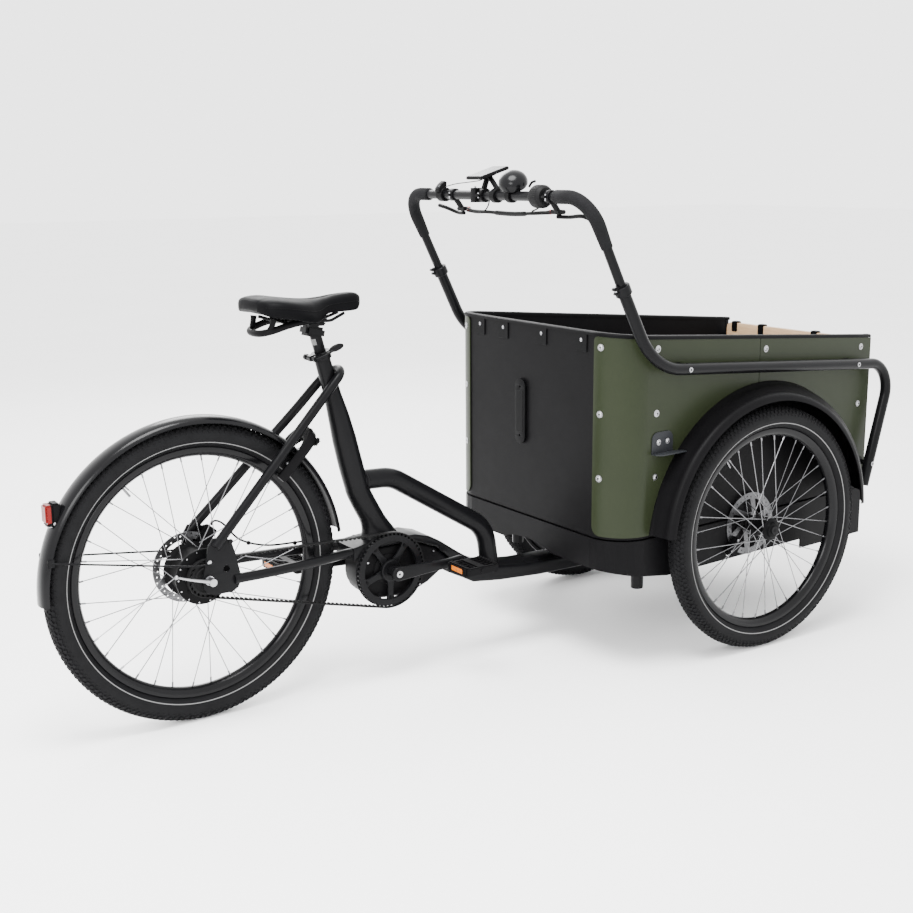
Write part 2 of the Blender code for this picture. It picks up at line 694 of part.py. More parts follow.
def saddle():
    """Loft of rounded sections from the wide rear to the narrow nose."""
    sections = [
        (0.146, 0.050, 0.9160, 0.8930), (0.158, 0.078, 0.9220, 0.8850), (0.185, 0.094, 0.9240, 0.8800),
        (0.220, 0.094, 0.9190, 0.8760), (0.258, 0.076, 0.9140, 0.8680), (0.295, 0.050, 0.9120, 0.8520),
        (0.330, 0.036, 0.9150, 0.8640), (0.370, 0.028, 0.9200, 0.8760), (0.400, 0.024, 0.9210, 0.8820),
        (0.416, 0.014, 0.9160, 0.8900),
    ]
    crown = [(-1.0, 0.35), (-0.86, 0.78), (-0.45, 0.97), (0, 1.0), (0.45, 0.97), (0.86, 0.78)]
    crown += [(1.0, 0.35)]
    bm = bmesh.new()
    rings = []
    for x, half, top, low in sections:
        roof = max(low + 0.001, 0.8795)
        under = [(0.94, low), (0.86, low), (0.80, roof), (-0.80, roof), (-0.86, low), (-0.94, low)]
        ring = [bm.verts.new((x, half * a, low + (top - low) * b)) for a, b in crown]
        ring += [bm.verts.new((x, half * a, z)) for a, z in under]
        rings.append(ring)
    for one, two in zip(rings, rings[1:]):
        for index in range(len(one)):
            after = (index + 1) % len(one)
            bm.faces.new((one[index], one[after], two[after], two[index]))
    bm.faces.new(rings[0])
    bm.faces.new(rings[-1][::-1])
    bmesh.ops.recalc_face_normals(bm, faces=bm.faces)
    return from_bmesh(bm)


def rear_brake():
    """Caliper on the left dropout and the hose that feeds it along the chain stay."""
    turn = Matrix.Rotation(math.radians(-50), 4, "Y")
    body = block((0.046, 0.0155, 0.030), (0.048, 0.0520, 0.3975), 0.003, turn)
    slot = block((0.060, 0.0040, 0.044), (0.040, 0.0515, 0.388), 0.0, turn)
    adopt(cut(body, slot), "rear_caliper", PLASTIC_BLACK, None)
    route = [(0.0620, 0.0560, 0.4185), (0.0710, 0.0560, 0.4265), (0.0920, 0.0580, 0.4160)]
    route += [(0.1300, 0.0560, 0.3740)]
    route += [(0.1900, 0.0520, 0.3520), (0.2600, 0.0470, 0.3480), (0.3300, 0.0400, 0.3480)]
    route += [(0.3530, 0.0400, 0.3440)]
    adopt(sweep(smooth(route, 2), 0.0024, 1), "rear_brake_hose", BELT_RUBBER, None)


# ---------------------------------------------------------------- cranks and pedals
def crankset():
    centre = (CRANK_X, 0, CRANK_Z)
    spin = pivot("crank_spin", centre)
    lift = math.radians(1)
    turn = Matrix.Rotation(-lift, 4, "Y")

    def arm(side):
        y_mid = side * 0.090
        outline = circle(0, 0, 0.017, 8, math.pi / 2, math.pi)
        outline += circle(CRANK_LENGTH, 0, 0.013, 8, -math.pi / 2, math.pi)
        plate = softened(slab([outline], 0.013, (0, y_mid, 0)), 0.003)
        return plate

    right = arm(-1)
    spindle = rod((0, -0.086, 0), (0, 0.0965, 0), 0.0122, 20)
    right = union(right, spindle)
    eye = rod((CRANK_LENGTH, -0.2, 0), (CRANK_LENGTH, 0, 0), 0.0066, 12)
    right = cut(right, eye)
    right.data.transform(Matrix.Translation(centre) @ turn)
    adopt(right, "crank_right", FRAME_BLACK, spin)
    left = arm(1)
    left = cut(left, rod((0, 0, 0), (0, 0.2, 0), 0.0122 + GAP, 20),
               rod((CRANK_LENGTH, 0, 0), (CRANK_LENGTH, 0.2, 0), 0.0066, 12))
    half_turn = Matrix.Rotation(math.pi - lift, 4, "Y")
    left.data.transform(Matrix.Translation(centre) @ half_turn)
    adopt(left, "crank_left", FRAME_BLACK, spin)

    root = RING_RADIUS - 0.0015
    band = [(0.070, -BELT_WIDTH / 2), (root, -BELT_WIDTH / 2), (root, BELT_WIDTH / 2)]
    band += [(0.070, BELT_WIDTH / 2)]
    ring = turned(band, 36, (0, 0, 0))
    hub_ring = turned([(0.0125, -0.010), (0.026, -0.010), (0.026, 0.004), (0.0125, 0.004)],
                      16, (0, 0, 0))
    arms = []
    for index in range(5):
        angle = math.tau * (index + 0.25) / 5
        spoke = block((0.056, 0.006, 0.016), (0.047, 0, 0))
        spoke.data.transform(Matrix.Rotation(angle, 4, "Y"))
        arms.append(spoke)
    ring = union(ring, hub_ring, *arms)
    place(ring, (CRANK_X, BELT_Y, CRANK_Z))
    adopt(ring, "belt_ring", FRAME_BLACK, spin)

    for side, label, reach in ((-1, "right", CRANK_LENGTH), (1, "left", -CRANK_LENGTH)):
        x = CRANK_X + reach * math.cos(lift)
        z = CRANK_Z + reach * math.sin(lift)
        pedal_spin = pivot(f"pedal_{label}_spin", (x, side * 0.145, z), spin)
        axle = rod((x, side * 0.0845, z), (x, side * 0.190, z), 0.0063, 12)
        body = block((0.092, 0.082, 0.024), (x, side * 0.148, z), 0.005)
        holes = [block((0.026, 0.052, 0.05), (x + shift, side * 0.148, z)) for shift in (-0.026, 0.026)]
        pedal = union(cut(body, *holes), axle)
        adopt(pedal, f"pedal_{label}", PLASTIC_BLACK, pedal_spin)


# ---------------------------------------------------------------- box
def half_width(x):
    """Half width of the box at a place behind its front wall and ahead of its rear corners."""
    return BOX_HALF_REAR - BOX_TAPER * (x - BOX_TAPER_START)


def rim_at(x):
    return RIM_HEIGHT - RIM_SLOPE * (x - BOX_REAR)


def corner_point(angle, offset):
    """A point on the left rear corner; angle 0 is at the rear wall and 90 degrees at the side."""
    reach = BOX_CORNER + offset
    return (
        BOX_REAR + BOX_CORNER - reach * math.cos(angle),
        BOX_HALF_REAR - BOX_CORNER + reach * math.sin(angle),
    )


def box_plan(offset, front_offset=None):
    """The box's outline from above, moved outwards by the offset."""
    front = BOX_FRONT + (offset if front_offset is None else front_offset)
    left = [corner_point(math.radians(a), offset) for a in (0, 15, 30, 45, 60, 75, 90)]
    side_front = half_width(front) + offset
    left += [(front - 0.006, side_front), (front, side_front - 0.006)]
    return left + [(x, -y) for x, y in reversed(left)]


def box_prism(offset, low, high, front_offset=None):
    return slab([box_plan(offset, front_offset)], high - low, (0, 0, (low + high) / 2), upright=False)


def along_rim(low, high):
    """A wide slab parallel to the sloping rim, from low to high above it."""
    turn = Matrix.Rotation(math.atan(RIM_SLOPE), 4, "Y")
    middle = (BOX_REAR + BOX_FRONT) / 2
    lift = turn @ Vector((0, 0, (low + high) / 2))
    return block((1.4, 1.0, high - low), Vector((middle, 0, rim_at(middle))) + lift, 0, turn)


def cargo_box():
    """The moulded tub: floor, walls and a thicker rim."""
    shell = PANEL_THICK + GAP
    tub = box_prism(-shell, BOX_BASE, 0.90)
    hollow = box_prism(-shell - BOX_WALL, BOX_BASE + 0.008, 0.95)
    tub = cut(tub, hollow, along_rim(-0.008, 0.4))
    rim_out = box_prism(0.0015, 0.70, 0.90)
    rim_in = box_prism(-shell - BOX_WALL - 0.002, 0.65, 0.95)
    rim_out = cut(rim_out, rim_in, along_rim(0.0, 0.4), along_rim(-0.4, -0.0092))
    notch = block((0.06, 0.516, 0.12), (BOX_FRONT - 0.014, 0, 0.705 + 0.06))
    adopt(cut(union(tub, rim_out), notch), "cargo_box", PLASTIC_BLACK, FRONT)


def arch_cutter(grow=0.0):
    outline = [
        (ARCH_X + (ARCH_HALF_LENGTH + grow) * math.cos(angle),
         ARCH_Z + (ARCH_HEIGHT + grow) * math.sin(angle))
        for angle in (math.pi * step / 24 for step in range(25))
    ]
    outline = [(ARCH_X + ARCH_HALF_LENGTH + grow, 0.20)] + outline
    outline += [(ARCH_X - ARCH_HALF_LENGTH - grow, 0.20)]
    return slab([outline], 1.2)


def side_panels():
    """Green outer panels: one wraps each rear corner, one runs on to the front edge."""
    seam = 1.3780
    near = [corner_point(math.radians(a), 0) for a in (4, 16, 30, 45, 60, 75, 90)]
    for side, label in ((-1, "right"), (1, "left")):
        for name, start in (("rear", True), ("front", False)):
            if start:
                outer = near + [(seam - 0.001, half_width(seam - 0.001))]
            else:
                outer = [(seam + 0.001, half_width(seam + 0.001)), (BOX_FRONT, half_width(BOX_FRONT))]
            inner = [inset(outer, index, PANEL_THICK) for index in range(len(outer))]
            strip = outer + inner[::-1]
            strip = [(x, side * y) for x, y in strip]
            panel = slab([strip], 0.60, (0, 0, 0.336 + 0.30), upright=False)
            panel = cut(panel, along_rim(-0.0096, 0.4), arch_cutter())
            adopt(panel, f"side_panel_{name}_{label}", PANEL_GREEN, FRONT)


def inset(points, index, depth):
    """The point moved inwards, square to the line through its neighbours."""
    before = Vector(points[max(index - 1, 0)])
    after = Vector(points[min(index + 1, len(points) - 1)])
    along = (after - before).normalized()
    return (points[index][0] + along.y * depth, points[index][1] - along.x * depth)


def box_skirt():
    """The lower apron round the chassis, open below, higher at the back where the beam passes."""
    top = BOX_BASE - 0.0035
    apron = cut(box_prism(0.0, 0.200, top), box_prism(-SKIRT_THICK, 0.15, top - 0.004))
    rear_cut = block((0.30, 0.9, 0.08), (0.93, 0, 0.206), 0, Matrix.Rotation(math.radians(9), 4, "Y"))
    side_cut = block((0.55, 0.9, 0.05), (1.30, 0, 0.200))
    tunnel = rod((0.80, 0, -0.07), (1.02, 0, -0.07), 0.34, 40)
    axle = rod((WHEELBASE, -0.5, FRONT_AXLE_Z), (WHEELBASE, 0.5, FRONT_AXLE_Z), 0.0125, 16)
    well = rod((STEER_X, 0, 0.15), (STEER_X, 0, 0.34), 0.05, 16)
    windows = [block((0.036, 0.050, 0.054), caliper_spot(side), 0, CALIPER_TURN) for side in (-1, 1)]
    apron = cut(apron, rear_cut, side_cut, tunnel, axle, well, *windows)
    adopt(apron, "box_skirt", PLASTIC_BLACK, FRONT)


def front_chassis():
    """Cross beam with stub axles, the plate over the steering head, its pin, and two rest feet."""
    cross = block((0.050, 0.586, 0.034), (WHEELBASE, 0, FRONT_AXLE_Z - 0.006), 0.004)
    stub = rod((WHEELBASE, -0.4060, FRONT_AXLE_Z), (WHEELBASE, 0.4060, FRONT_AXLE_Z), 0.0100, 16)
    plate = block((0.260, 0.130, 0.020), (1.260, 0, 0.2575), 0.003)
    neck = block((0.060, 0.130, 0.050), (WHEELBASE, 0, 0.276), 0.003)
    pin = rod((STEER_X, 0, 0.158), (STEER_X, 0, 0.256), 0.0150, 20)
    nut = rod((STEER_X, 0, 0.156), (STEER_X, 0, 0.1715), 0.0230, 6)
    strut = block((0.030, 0.560, 0.016), (1.150, 0, 0.262), 0.003)
    pieces = [stub, plate, neck, pin, nut, strut]
    for side in (-1, 1):
        pieces.append(block((0.125, 0.030, 0.014), (1.100, side * 0.250, 0.262), 0.002))
        pieces.append(rod((1.045, side * 0.250, 0.268), (1.045, side * 0.250, 0.176), 0.017, 14, 0.015))
    adopt(union(cross, *pieces), "front_chassis", FRAME_BLACK, FRONT)


def front_mudguard(side, label):
    """Shell from the arch on the box side out over the tyre, with a turned-down lip."""
    steps = 16
    bm = bmesh.new()
    outer_rows = []
    inner_rows = []
    thick = 0.0025
    for step in range(steps + 1):
        t = step / steps
        angle = math.radians(173 - 166 * t)
        arch = Vector((
            ARCH_X + (ARCH_HALF_LENGTH - 0.001) * math.cos(angle),
            ARCH_Z + (ARCH_HEIGHT - 0.001) * math.sin(angle),
        ))
        wheel = Vector((WHEELBASE, FRONT_AXLE_Z))
        away = (arch - wheel).normalized()
        wall = half_width(arch.x) - PANEL_THICK
        rows = [
            (arch, wall), (wheel + away * ((arch - wheel).length * 0.45 + 0.345 * 0.55), 0.348),
            (wheel + away * 0.342, 0.388), (wheel + away * 0.335, 0.400), (wheel + away * 0.324, 0.402),
        ]
        inner = [
            (point - away * thick, y - (0.0 if index == 0 else thick * 0.6))
            for index, (point, y) in enumerate(rows)
        ]
        inner[-1] = (rows[-1][0], rows[-1][1] - thick)
        outer_rows.append([bm.verts.new((p.x, side * y, p.y)) for p, y in rows])
        inner_rows.append([bm.verts.new((p.x, side * y, p.y)) for p, y in inner])
    loops = [outer + inner[::-1] for outer, inner in zip(outer_rows, inner_rows)]
    for one, two in zip(loops, loops[1:]):
        for index in range(len(one)):
            after = (index + 1) % len(one)
            bm.faces.new((one[index], one[after], two[after], two[index]))
    bm.faces.new(loops[0])
    bm.faces.new(loops[-1][::-1])
    bmesh.ops.recalc_face_normals(bm, faces=bm.faces)
    adopt(from_bmesh(bm), f"front_mudguard_{label}", PLASTIC_BLACK, FRONT)


CALIPER_TURN = Matrix.Rotation(math.radians(40), 4, "Y")


def caliper_spot(side):
    return Vector((WHEELBASE - 0.060, side * 0.3190, FRONT_AXLE_Z - 0.050))


def front_caliper(side, label):
    """Caliper round the rotor's lower rear edge, its arm beside the end of the cross beam."""
    spot = caliper_spot(side)
    body = block((0.030, 0.0340, 0.048), spot, 0.003, CALIPER_TURN)
    slot_y = side * (TRACK_HALF - 0.0491)
    slot = block((0.050, 0.0040, 0.060), (spot.x + 0.012, slot_y, spot.z + 0.012), 0, CALIPER_TURN)
    arm = block((0.056, 0.0100, 0.030), (spot.x + 0.026, side * 0.2990, spot.z + 0.024))
    body = union(cut(body, slot), arm)
    adopt(body, f"front_caliper_{label}", PLASTIC_BLACK, FRONT)


def bench_and_battery():
    """Folding plywood bench board against the front wall, and the battery on the floor below it."""
    pack = block((0.110, 0.340, 0.110), (1.745, 0, 0.3945), 0.006)
    adopt(pack, "battery_pack", PLASTIC_BLACK, FRONT)
    hinge = pivot("bench_fold", (1.8030, 0, 0.4900), FRONT)
    board = block((0.015, 0.474, 0.246), (1.8105, 0, 0.6145), 0.002)
    adopt(board, "bench_board", PLYWOOD, hinge)


# ---------------------------------------------------------------- rails and handlebar
def leg_point(z, side):
    return Vector((BAR_X + LEG_LEAN * (BAR_Z - z), side * BAR_HALF, z))


def side_rail(side, label):
    """Tube from the telescopic sleeve, along the box and down to its front corner."""
    def along(x):
        return Vector((x, side * (half_width(x) + RAIL_STANDOFF), rim_at(x) - RAIL_DROP))

    low_x = 1.7920
    foot = Vector((low_x, side * (half_width(low_x) + RAIL_STANDOFF), 0.345))
    corners = [leg_point(SLEEVE_TOP, side), along(0.9690), along(1.8930), foot]
    path = rounded(corners, [0.16, 0.075], 4)
    tube = sweep(path, RAIL_RADIUS, 3)
    posts = []
    for x in (1.080, 1.725):
        point = along(x)
        wall = Vector((x, side * (half_width(x) + 0.0006), point.z))
        posts.append(rod(point, wall, 0.007, 8))
    low = foot.lerp(along(1.8930), 0.18)
    posts.append(rod(low, (low.x, side * (half_width(low.x) + 0.0006), low.z), 0.007, 8))
    axis = (leg_point(1.0, side) - leg_point(0.8, side)).normalized()
    mouth = leg_point(SLEEVE_TOP, side)
    band = rod(mouth - axis * 0.024, mouth - axis * 0.002, 0.0190, 14)
    ear = block((0.014, 0.014, 0.016), mouth - axis * 0.013 + Vector((-0.020, side * 0.002, -0.006)))
    bore = rod(mouth + axis * 0.02, mouth - axis * 0.115, BAR_RADIUS + GAP, 12)
    rail = cut(union(tube, band, ear, *posts), bore)
    adopt(rail, f"side_rail_{label}", FRAME_BLACK, FRONT)


def bar_path():
    inset_depth = 0.082
    legs = [leg_point(SLEEVE_TOP - inset_depth, side) for side in (1, -1)]
    tops = [leg_point(BAR_Z, side) for side in (1, -1)]
    return rounded([legs[0], tops[0], tops[1], legs[1]], [0.070, 0.070], 5)


def handlebar():
    """Telescopic U-shaped bar with its brake lever perches."""
    slide = pivot("handlebar_slide", leg_point(SLEEVE_TOP, 0), FRONT)
    bar = sweep(bar_path(), BAR_RADIUS, 4)
    clamps = []
    for y, reach in ((LEVER_LEFT, 1), (LEVER_RIGHT, -1)):
        clamps.append(rod((BAR_X, y - 0.010, BAR_Z), (BAR_X, y + 0.010, BAR_Z), 0.0150, 12))
        clamps.append(rod((BAR_X + 0.004, y, BAR_Z - 0.008), (BAR_X + 0.024, y, BAR_Z - 0.036), 0.0065, 8))
        clamps.append(block((0.022, 0.034, 0.010), (BAR_X + 0.026, y - reach * 0.004, BAR_Z - 0.034)))
    adopt(union(bar, *clamps), "handlebar", FRAME_BLACK, slide)
    grips(slide)
    start = [(0, -0.006, 0), (0.006, 0.030, 0)]
    lever(slide, "left", LEVER_LEFT, 1, start + [(0.004, 0.075, 0.010), (0.006, 0.115, 0.016)])
    lever(slide, "right", LEVER_RIGHT, -1, start + [(0.004, 0.075, 0.003), (0.006, 0.105, -0.003)])
    controls(slide)


def grips(slide):
    """Foam sleeves round the two bends of the bar."""
    for side, label in ((1, "left"), (-1, "right")):
        start = Vector((BAR_X, side * 0.262, BAR_Z))
        corner = leg_point(BAR_Z, side)
        end = leg_point(1.018, side)
        path = rounded([start, corner, end], [0.070], 5)
        sleeve = sweep(path, 0.0155, 3, [1.0] * (len(path) - 1) + [0.85])
        ahead = Vector((0, side * 0.02, 0))
        core_path = rounded([start - ahead, corner, leg_point(1.0, side)], [0.070], 5)
        core = sweep(core_path, BAR_RADIUS + 0.0004, 4)
        adopt(cut(sleeve, core), f"grip_{label}", FOAM, slide)


def lever(slide, label, y, reach, bends):
    """A brake lever below its clamp, on an upright pin."""
    pin = Vector((BAR_X + 0.026, y, BAR_Z - 0.0445))
    turn = pivot(f"brake_lever_{label}_turn", pin, slide)
    path = [pin + Vector((ahead, reach * out, up)) for ahead, out, up in bends]
    blade = sweep(smooth(path, 2), 0.0048, 2)
    adopt(blade, f"brake_lever_{label}", FRAME_BLACK, turn)


def controls(slide):
    """Display, bell with striker, twist shifter and the cable loom under the bar."""
    display_pivot = pivot("display_tilt", (BAR_X, 0.020, BAR_Z), slide)
    ring = turned([(0.0115, -0.010), (0.0165, -0.010), (0.0165, 0.010), (0.0115, 0.010)], 14,
                  (BAR_X, 0.020, BAR_Z))
    arm = block((0.010, 0.014, 0.040), (BAR_X + 0.006, 0.020, BAR_Z + 0.032), 0,
                Matrix.Rotation(math.radians(20), 4, "Y"))
    screen = block((0.084, 0.066, 0.008), (BAR_X + 0.010, 0.020, BAR_Z + 0.052), 0.002,
                   Matrix.Rotation(math.radians(-17), 4, "Y"))
    adopt(union(ring, arm, screen), "display", PLASTIC_BLACK, display_pivot)

    y = 0.196
    pod = [(0.0114, -0.012), (0.0170, -0.012), (0.0170, 0.012), (0.0114, 0.012)]
    remote = union(
        turned(pod, 14, (BAR_X, y, BAR_Z)),
        block((0.026, 0.022, 0.014), (BAR_X - 0.008, y, BAR_Z + 0.020), 0.003,
              Matrix.Rotation(math.radians(-35), 4, "Y")),
    )
    bore = rod((BAR_X, y - 0.1, BAR_Z), (BAR_X, y + 0.1, BAR_Z), 0.0114, 14)
    adopt(cut(remote, bore), "assist_remote", PLASTIC_BLACK, slide)

    y = -0.092
    tilt = Matrix.Rotation(math.radians(-25), 4, "Y") @ Matrix.Rotation(math.radians(20), 4, "X")
    dome = [(0.0, 0.0), (0.0325, 0.0), (0.0340, 0.011), (0.029, 0.024), (0.017, 0.0325), (0.0, 0.036)]
    shell = turned(dome, 18, (0, 0, 0), axis="Z")
    place(shell, (BAR_X + 0.006, y, BAR_Z + 0.022), tilt)
    collar = rod((BAR_X, y - 0.008, BAR_Z), (BAR_X, y + 0.008, BAR_Z), 0.0160, 14)
    neck = rod((BAR_X, y, BAR_Z + 0.010), (BAR_X + 0.006, y, BAR_Z + 0.028), 0.006, 8)
    bore = rod((BAR_X, y - 0.1, BAR_Z), (BAR_X, y + 0.1, BAR_Z), BAR_RADIUS + GAP, 12)
    adopt(cut(union(shell, neck, collar), bore), "bell", FRAME_BLACK, slide)
    pin = Vector((BAR_X + 0.018, y - 0.0430, BAR_Z + 0.020))
    strike = pivot("bell_striker_turn", pin, slide)
    path = [pin, pin + Vector((0.004, -0.005, 0.010)), pin + Vector((0.009, -0.010, 0.013))]
    adopt(sweep(path, 0.0030, 1), "bell_striker", FRAME_BLACK, strike)

    y = -0.203
    twist = pivot("twist_shifter_turn", (BAR_X, y, BAR_Z), slide)
    drum = [(0.0114, -0.021), (0.021, -0.021), (0.026, -0.013), (0.026, 0.013), (0.021, 0.021)]
    drum += [(0.0114, 0.021)]
    adopt(turned(drum, 16, (BAR_X, y, BAR_Z)), "twist_shifter", PLASTIC_BLACK, twist)

    route = [(0.024, 0.126, -0.0360), (0.022, 0.080, -0.040), (0.020, 0.020, -0.040)]
    route += [(0.020, -0.060, -0.042), (0.020, -0.130, -0.040), (0.022, -0.190, -0.036)]
    route += [(0.024, -0.213, -0.0345)]
    path = [Vector((BAR_X + x, y, BAR_Z + z)) for x, y, z in route]
    adopt(sweep(smooth(path, 2), 0.0042, 1), "control_cables", BELT_RUBBER, slide)


# ---------------------------------------------------------------- assembly
rear_wheel()
rear_sprocket()
rear_axle()
rear_frame()
rear_triangle()
motor_unit()
drive_belt()
rear_mudguard()
tail_lamp()
frame_lock()
seat_clamp()
saddle_group()
rear_brake()
crankset()

FRONT = pivot("steering_turn", (STEER_X, 0, 0.25))
for wheel_side, wheel_label in ((-1, "right"), (1, "left")):
    front_wheel(wheel_side, wheel_label)
    side_rail(wheel_side, wheel_label)
    front_mudguard(wheel_side, wheel_label)
    front_caliper(wheel_side, wheel_label)
cargo_box()
side_panels()
box_skirt()
front_chassis()
bench_and_battery()
handlebar()
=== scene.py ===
"""Visual model of the cargo bicycle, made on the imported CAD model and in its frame.

Places are measured from the point on the ground below the rear axle, which at() moves to the
model's frame. X points ahead, Y to the rider's left, Z up, all in metres.
"""

import json
import math
import random

import bmesh
import bpy
from mathutils import Matrix, Vector


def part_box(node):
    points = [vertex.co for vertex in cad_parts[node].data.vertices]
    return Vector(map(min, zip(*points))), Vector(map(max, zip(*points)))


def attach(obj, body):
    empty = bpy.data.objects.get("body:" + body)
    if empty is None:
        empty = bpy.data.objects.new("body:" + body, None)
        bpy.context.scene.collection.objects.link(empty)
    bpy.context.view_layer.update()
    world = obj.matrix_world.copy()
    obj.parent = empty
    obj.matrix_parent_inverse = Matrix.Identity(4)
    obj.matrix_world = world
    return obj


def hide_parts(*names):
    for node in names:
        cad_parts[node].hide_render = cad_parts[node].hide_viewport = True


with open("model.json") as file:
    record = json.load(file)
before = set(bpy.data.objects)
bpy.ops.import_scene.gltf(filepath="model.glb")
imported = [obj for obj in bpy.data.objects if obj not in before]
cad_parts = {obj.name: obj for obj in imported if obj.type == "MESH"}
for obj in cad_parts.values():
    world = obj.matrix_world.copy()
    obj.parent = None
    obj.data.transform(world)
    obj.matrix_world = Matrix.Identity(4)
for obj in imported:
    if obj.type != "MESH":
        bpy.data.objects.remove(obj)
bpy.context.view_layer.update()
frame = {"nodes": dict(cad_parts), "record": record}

JOINTS = {joint["name"]: joint for joint in frame["record"]["behaviour"]["joints"]}
NODES = frame["nodes"]
AXLE = Vector(JOINTS["rear_wheel_spin"]["pos_m"])
OFFSET = Vector((AXLE.x, 0, 0))
AXLE_Z = AXLE.z
FRONT_AXLE = Vector(JOINTS["front_wheel_left_spin"]["pos_m"]) - OFFSET
CRANK = Vector(JOINTS["crank_spin"]["pos_m"]) - OFFSET
BAR = Vector(JOINTS["twist_shifter_turn"]["pos_m"]) - OFFSET
BAR.y = 0.0
Y_AXIS = Vector((0, 1, 0))
Z_AXIS = Vector((0, 0, 1))

REAR = "rear_frame_body"
BOX = "box_body"
HANDLE = "bar_body"
SADDLE = "saddle_body"
CRANKS = "crank_body"


# ---------------------------------------------------------------- finishes
def node(tree, kind, **values):
    made = tree.nodes.new(kind)
    for name, value in values.items():
        if name in made.inputs:
            made.inputs[name].default_value = value
        else:
            setattr(made, name, value)
    return made


def ramp(tree, source, low, high, start=0.3, end=0.7):
    made = tree.nodes.new("ShaderNodeValToRGB")
    made.color_ramp.elements[0].position = start
    made.color_ramp.elements[1].position = end
    made.color_ramp.elements[0].color = (*low, 1)
    made.color_ramp.elements[1].color = (*high, 1)
    tree.links.new(source, made.inputs["Fac"])
    return made.outputs["Color"]


def spread(tree, source, low, high):
    made = node(tree, "ShaderNodeMapRange")
    made.inputs["To Min"].default_value = low
    made.inputs["To Max"].default_value = high
    tree.links.new(source, made.inputs["Value"])
    return made.outputs["Result"]


def shade_of(colour, factor):
    return tuple(min(1.0, channel * factor) for channel in colour)


def start_material(name, metallic=0.0, coat=0.0, specular=0.5, sheen=0.0):
    made = bpy.data.materials.new(name)
    made.use_nodes = True
    tree = made.node_tree
    shader = tree.nodes["Principled BSDF"]
    shader.inputs["Metallic"].default_value = metallic
    shader.inputs["Coat Weight"].default_value = coat
    shader.inputs["Coat Roughness"].default_value = 0.12
    shader.inputs["Specular IOR Level"].default_value = specular
    shader.inputs["Sheen Weight"].default_value = sheen
    place = tree.nodes.new("ShaderNodeTexCoord").outputs["Object"]
    return made, tree, shader, place


def noise(tree, place, scale, detail=3.0, stretch=None):
    if stretch:
        mapping = node(tree, "ShaderNodeMapping")
        mapping.inputs["Scale"].default_value = stretch
        tree.links.new(place, mapping.inputs["Vector"])
        place = mapping.outputs["Vector"]
    made = node(tree, "ShaderNodeTexNoise", Scale=scale, Detail=detail)
    tree.links.new(place, made.inputs["Vector"])
    return made.outputs["Fac"]


def bump(tree, shader, source, distance, strength=0.5):
    made = node(tree, "ShaderNodeBump", Strength=strength, Distance=distance)
    tree.links.new(source, made.inputs["Height"])
    tree.links.new(made.outputs["Normal"], shader.inputs["Normal"])


def surface(name, colour, rough, metallic=0.0, tone=0.12, tone_scale=9.0, grain=600.0, depth=0.00005,
            strength=0.4, coat=0.0, specular=0.5, sheen=0.0, stretch=None):
    """Paint, plastic, rubber or metal: slow tone changes, a fine grain, and uneven gloss."""
    made, tree, shader, place = start_material(name, metallic, coat, specular, sheen)
    slow = noise(tree, place, tone_scale, 4.0)
    tree.links.new(ramp(tree, slow, shade_of(colour, 1 - tone), shade_of(colour, 1 + tone)),
                   shader.inputs["Base Color"])
    tree.links.new(spread(tree, noise(tree, place, tone_scale * 5, 5.0), rough - 0.07, rough + 0.07),
                   shader.inputs["Roughness"])
    bump(tree, shader, noise(tree, place, grain, 2.0, stretch), depth, strength)
    return made


def plywood():
    """Pale veneer with long grain, and plies that show on the board's edges."""
    made, tree, shader, place = start_material("plywood_birch", coat=0.15)
    grain = noise(tree, place, 24.0, 8.0, (14.0, 1.0, 14.0))
    face = ramp(tree, grain, (0.30, 0.185, 0.095), (0.42, 0.285, 0.165), 0.25, 0.75)
    wave = node(tree, "ShaderNodeTexWave", Scale=92.0, Distortion=0.6)
    wave.inputs["Detail Scale"].default_value = 3.0
    tree.links.new(place, wave.inputs["Vector"])
    edge = ramp(tree, wave.outputs["Fac"], (0.20, 0.115, 0.060), (0.48, 0.37, 0.25), 0.35, 0.6)
    split = tree.nodes.new("ShaderNodeSeparateXYZ")
    tree.links.new(tree.nodes.new("ShaderNodeTexCoord").outputs["Normal"], split.inputs["Vector"])
    side = node(tree, "ShaderNodeMath", operation="ABSOLUTE")
    tree.links.new(split.outputs["X"], side.inputs[0])
    mix = node(tree, "ShaderNodeMix", data_type="RGBA")
    tree.links.new(side.outputs["Value"], mix.inputs["Factor"])
    tree.links.new(edge, mix.inputs[6])
    tree.links.new(face, mix.inputs[7])
    tree.links.new(mix.outputs[2], shader.inputs["Base Color"])
    tree.links.new(spread(tree, grain, 0.42, 0.62), shader.inputs["Roughness"])
    bump(tree, shader, grain, 0.0002, 0.25)
    return made


def leather(name, colour):
    """Vinyl with a pebbled grain."""
    made, tree, shader, place = start_material(name, specular=0.03)
    cells = node(tree, "ShaderNodeTexVoronoi", Scale=900.0)
    tree.links.new(place, cells.inputs["Vector"])
    slow = noise(tree, place, 14.0, 4.0)
    tree.links.new(ramp(tree, slow, shade_of(colour, 0.85), shade_of(colour, 1.2)), shader.inputs["Base Color"])
    tree.links.new(spread(tree, noise(tree, place, 60.0), 0.44, 0.58), shader.inputs["Roughness"])
    bump(tree, shader, cells.outputs["Distance"], 0.00012, 0.5)
    return made


def wrapped_foam(name, colour):
    """Foam or stitched grip with small cells."""
    made, tree, shader, place = start_material(name, specular=0.12)
    cells = node(tree, "ShaderNodeTexVoronoi", Scale=420.0)
    tree.links.new(place, cells.inputs["Vector"])
    tree.links.new(ramp(tree, cells.outputs["Distance"], shade_of(colour, 0.8), shade_of(colour, 1.35)),
                   shader.inputs["Base Color"])
    tree.links.new(spread(tree, noise(tree, place, 40.0), 0.78, 0.92), shader.inputs["Roughness"])
    bump(tree, shader, cells.outputs["Distance"], 0.0003, 0.5)
    return made


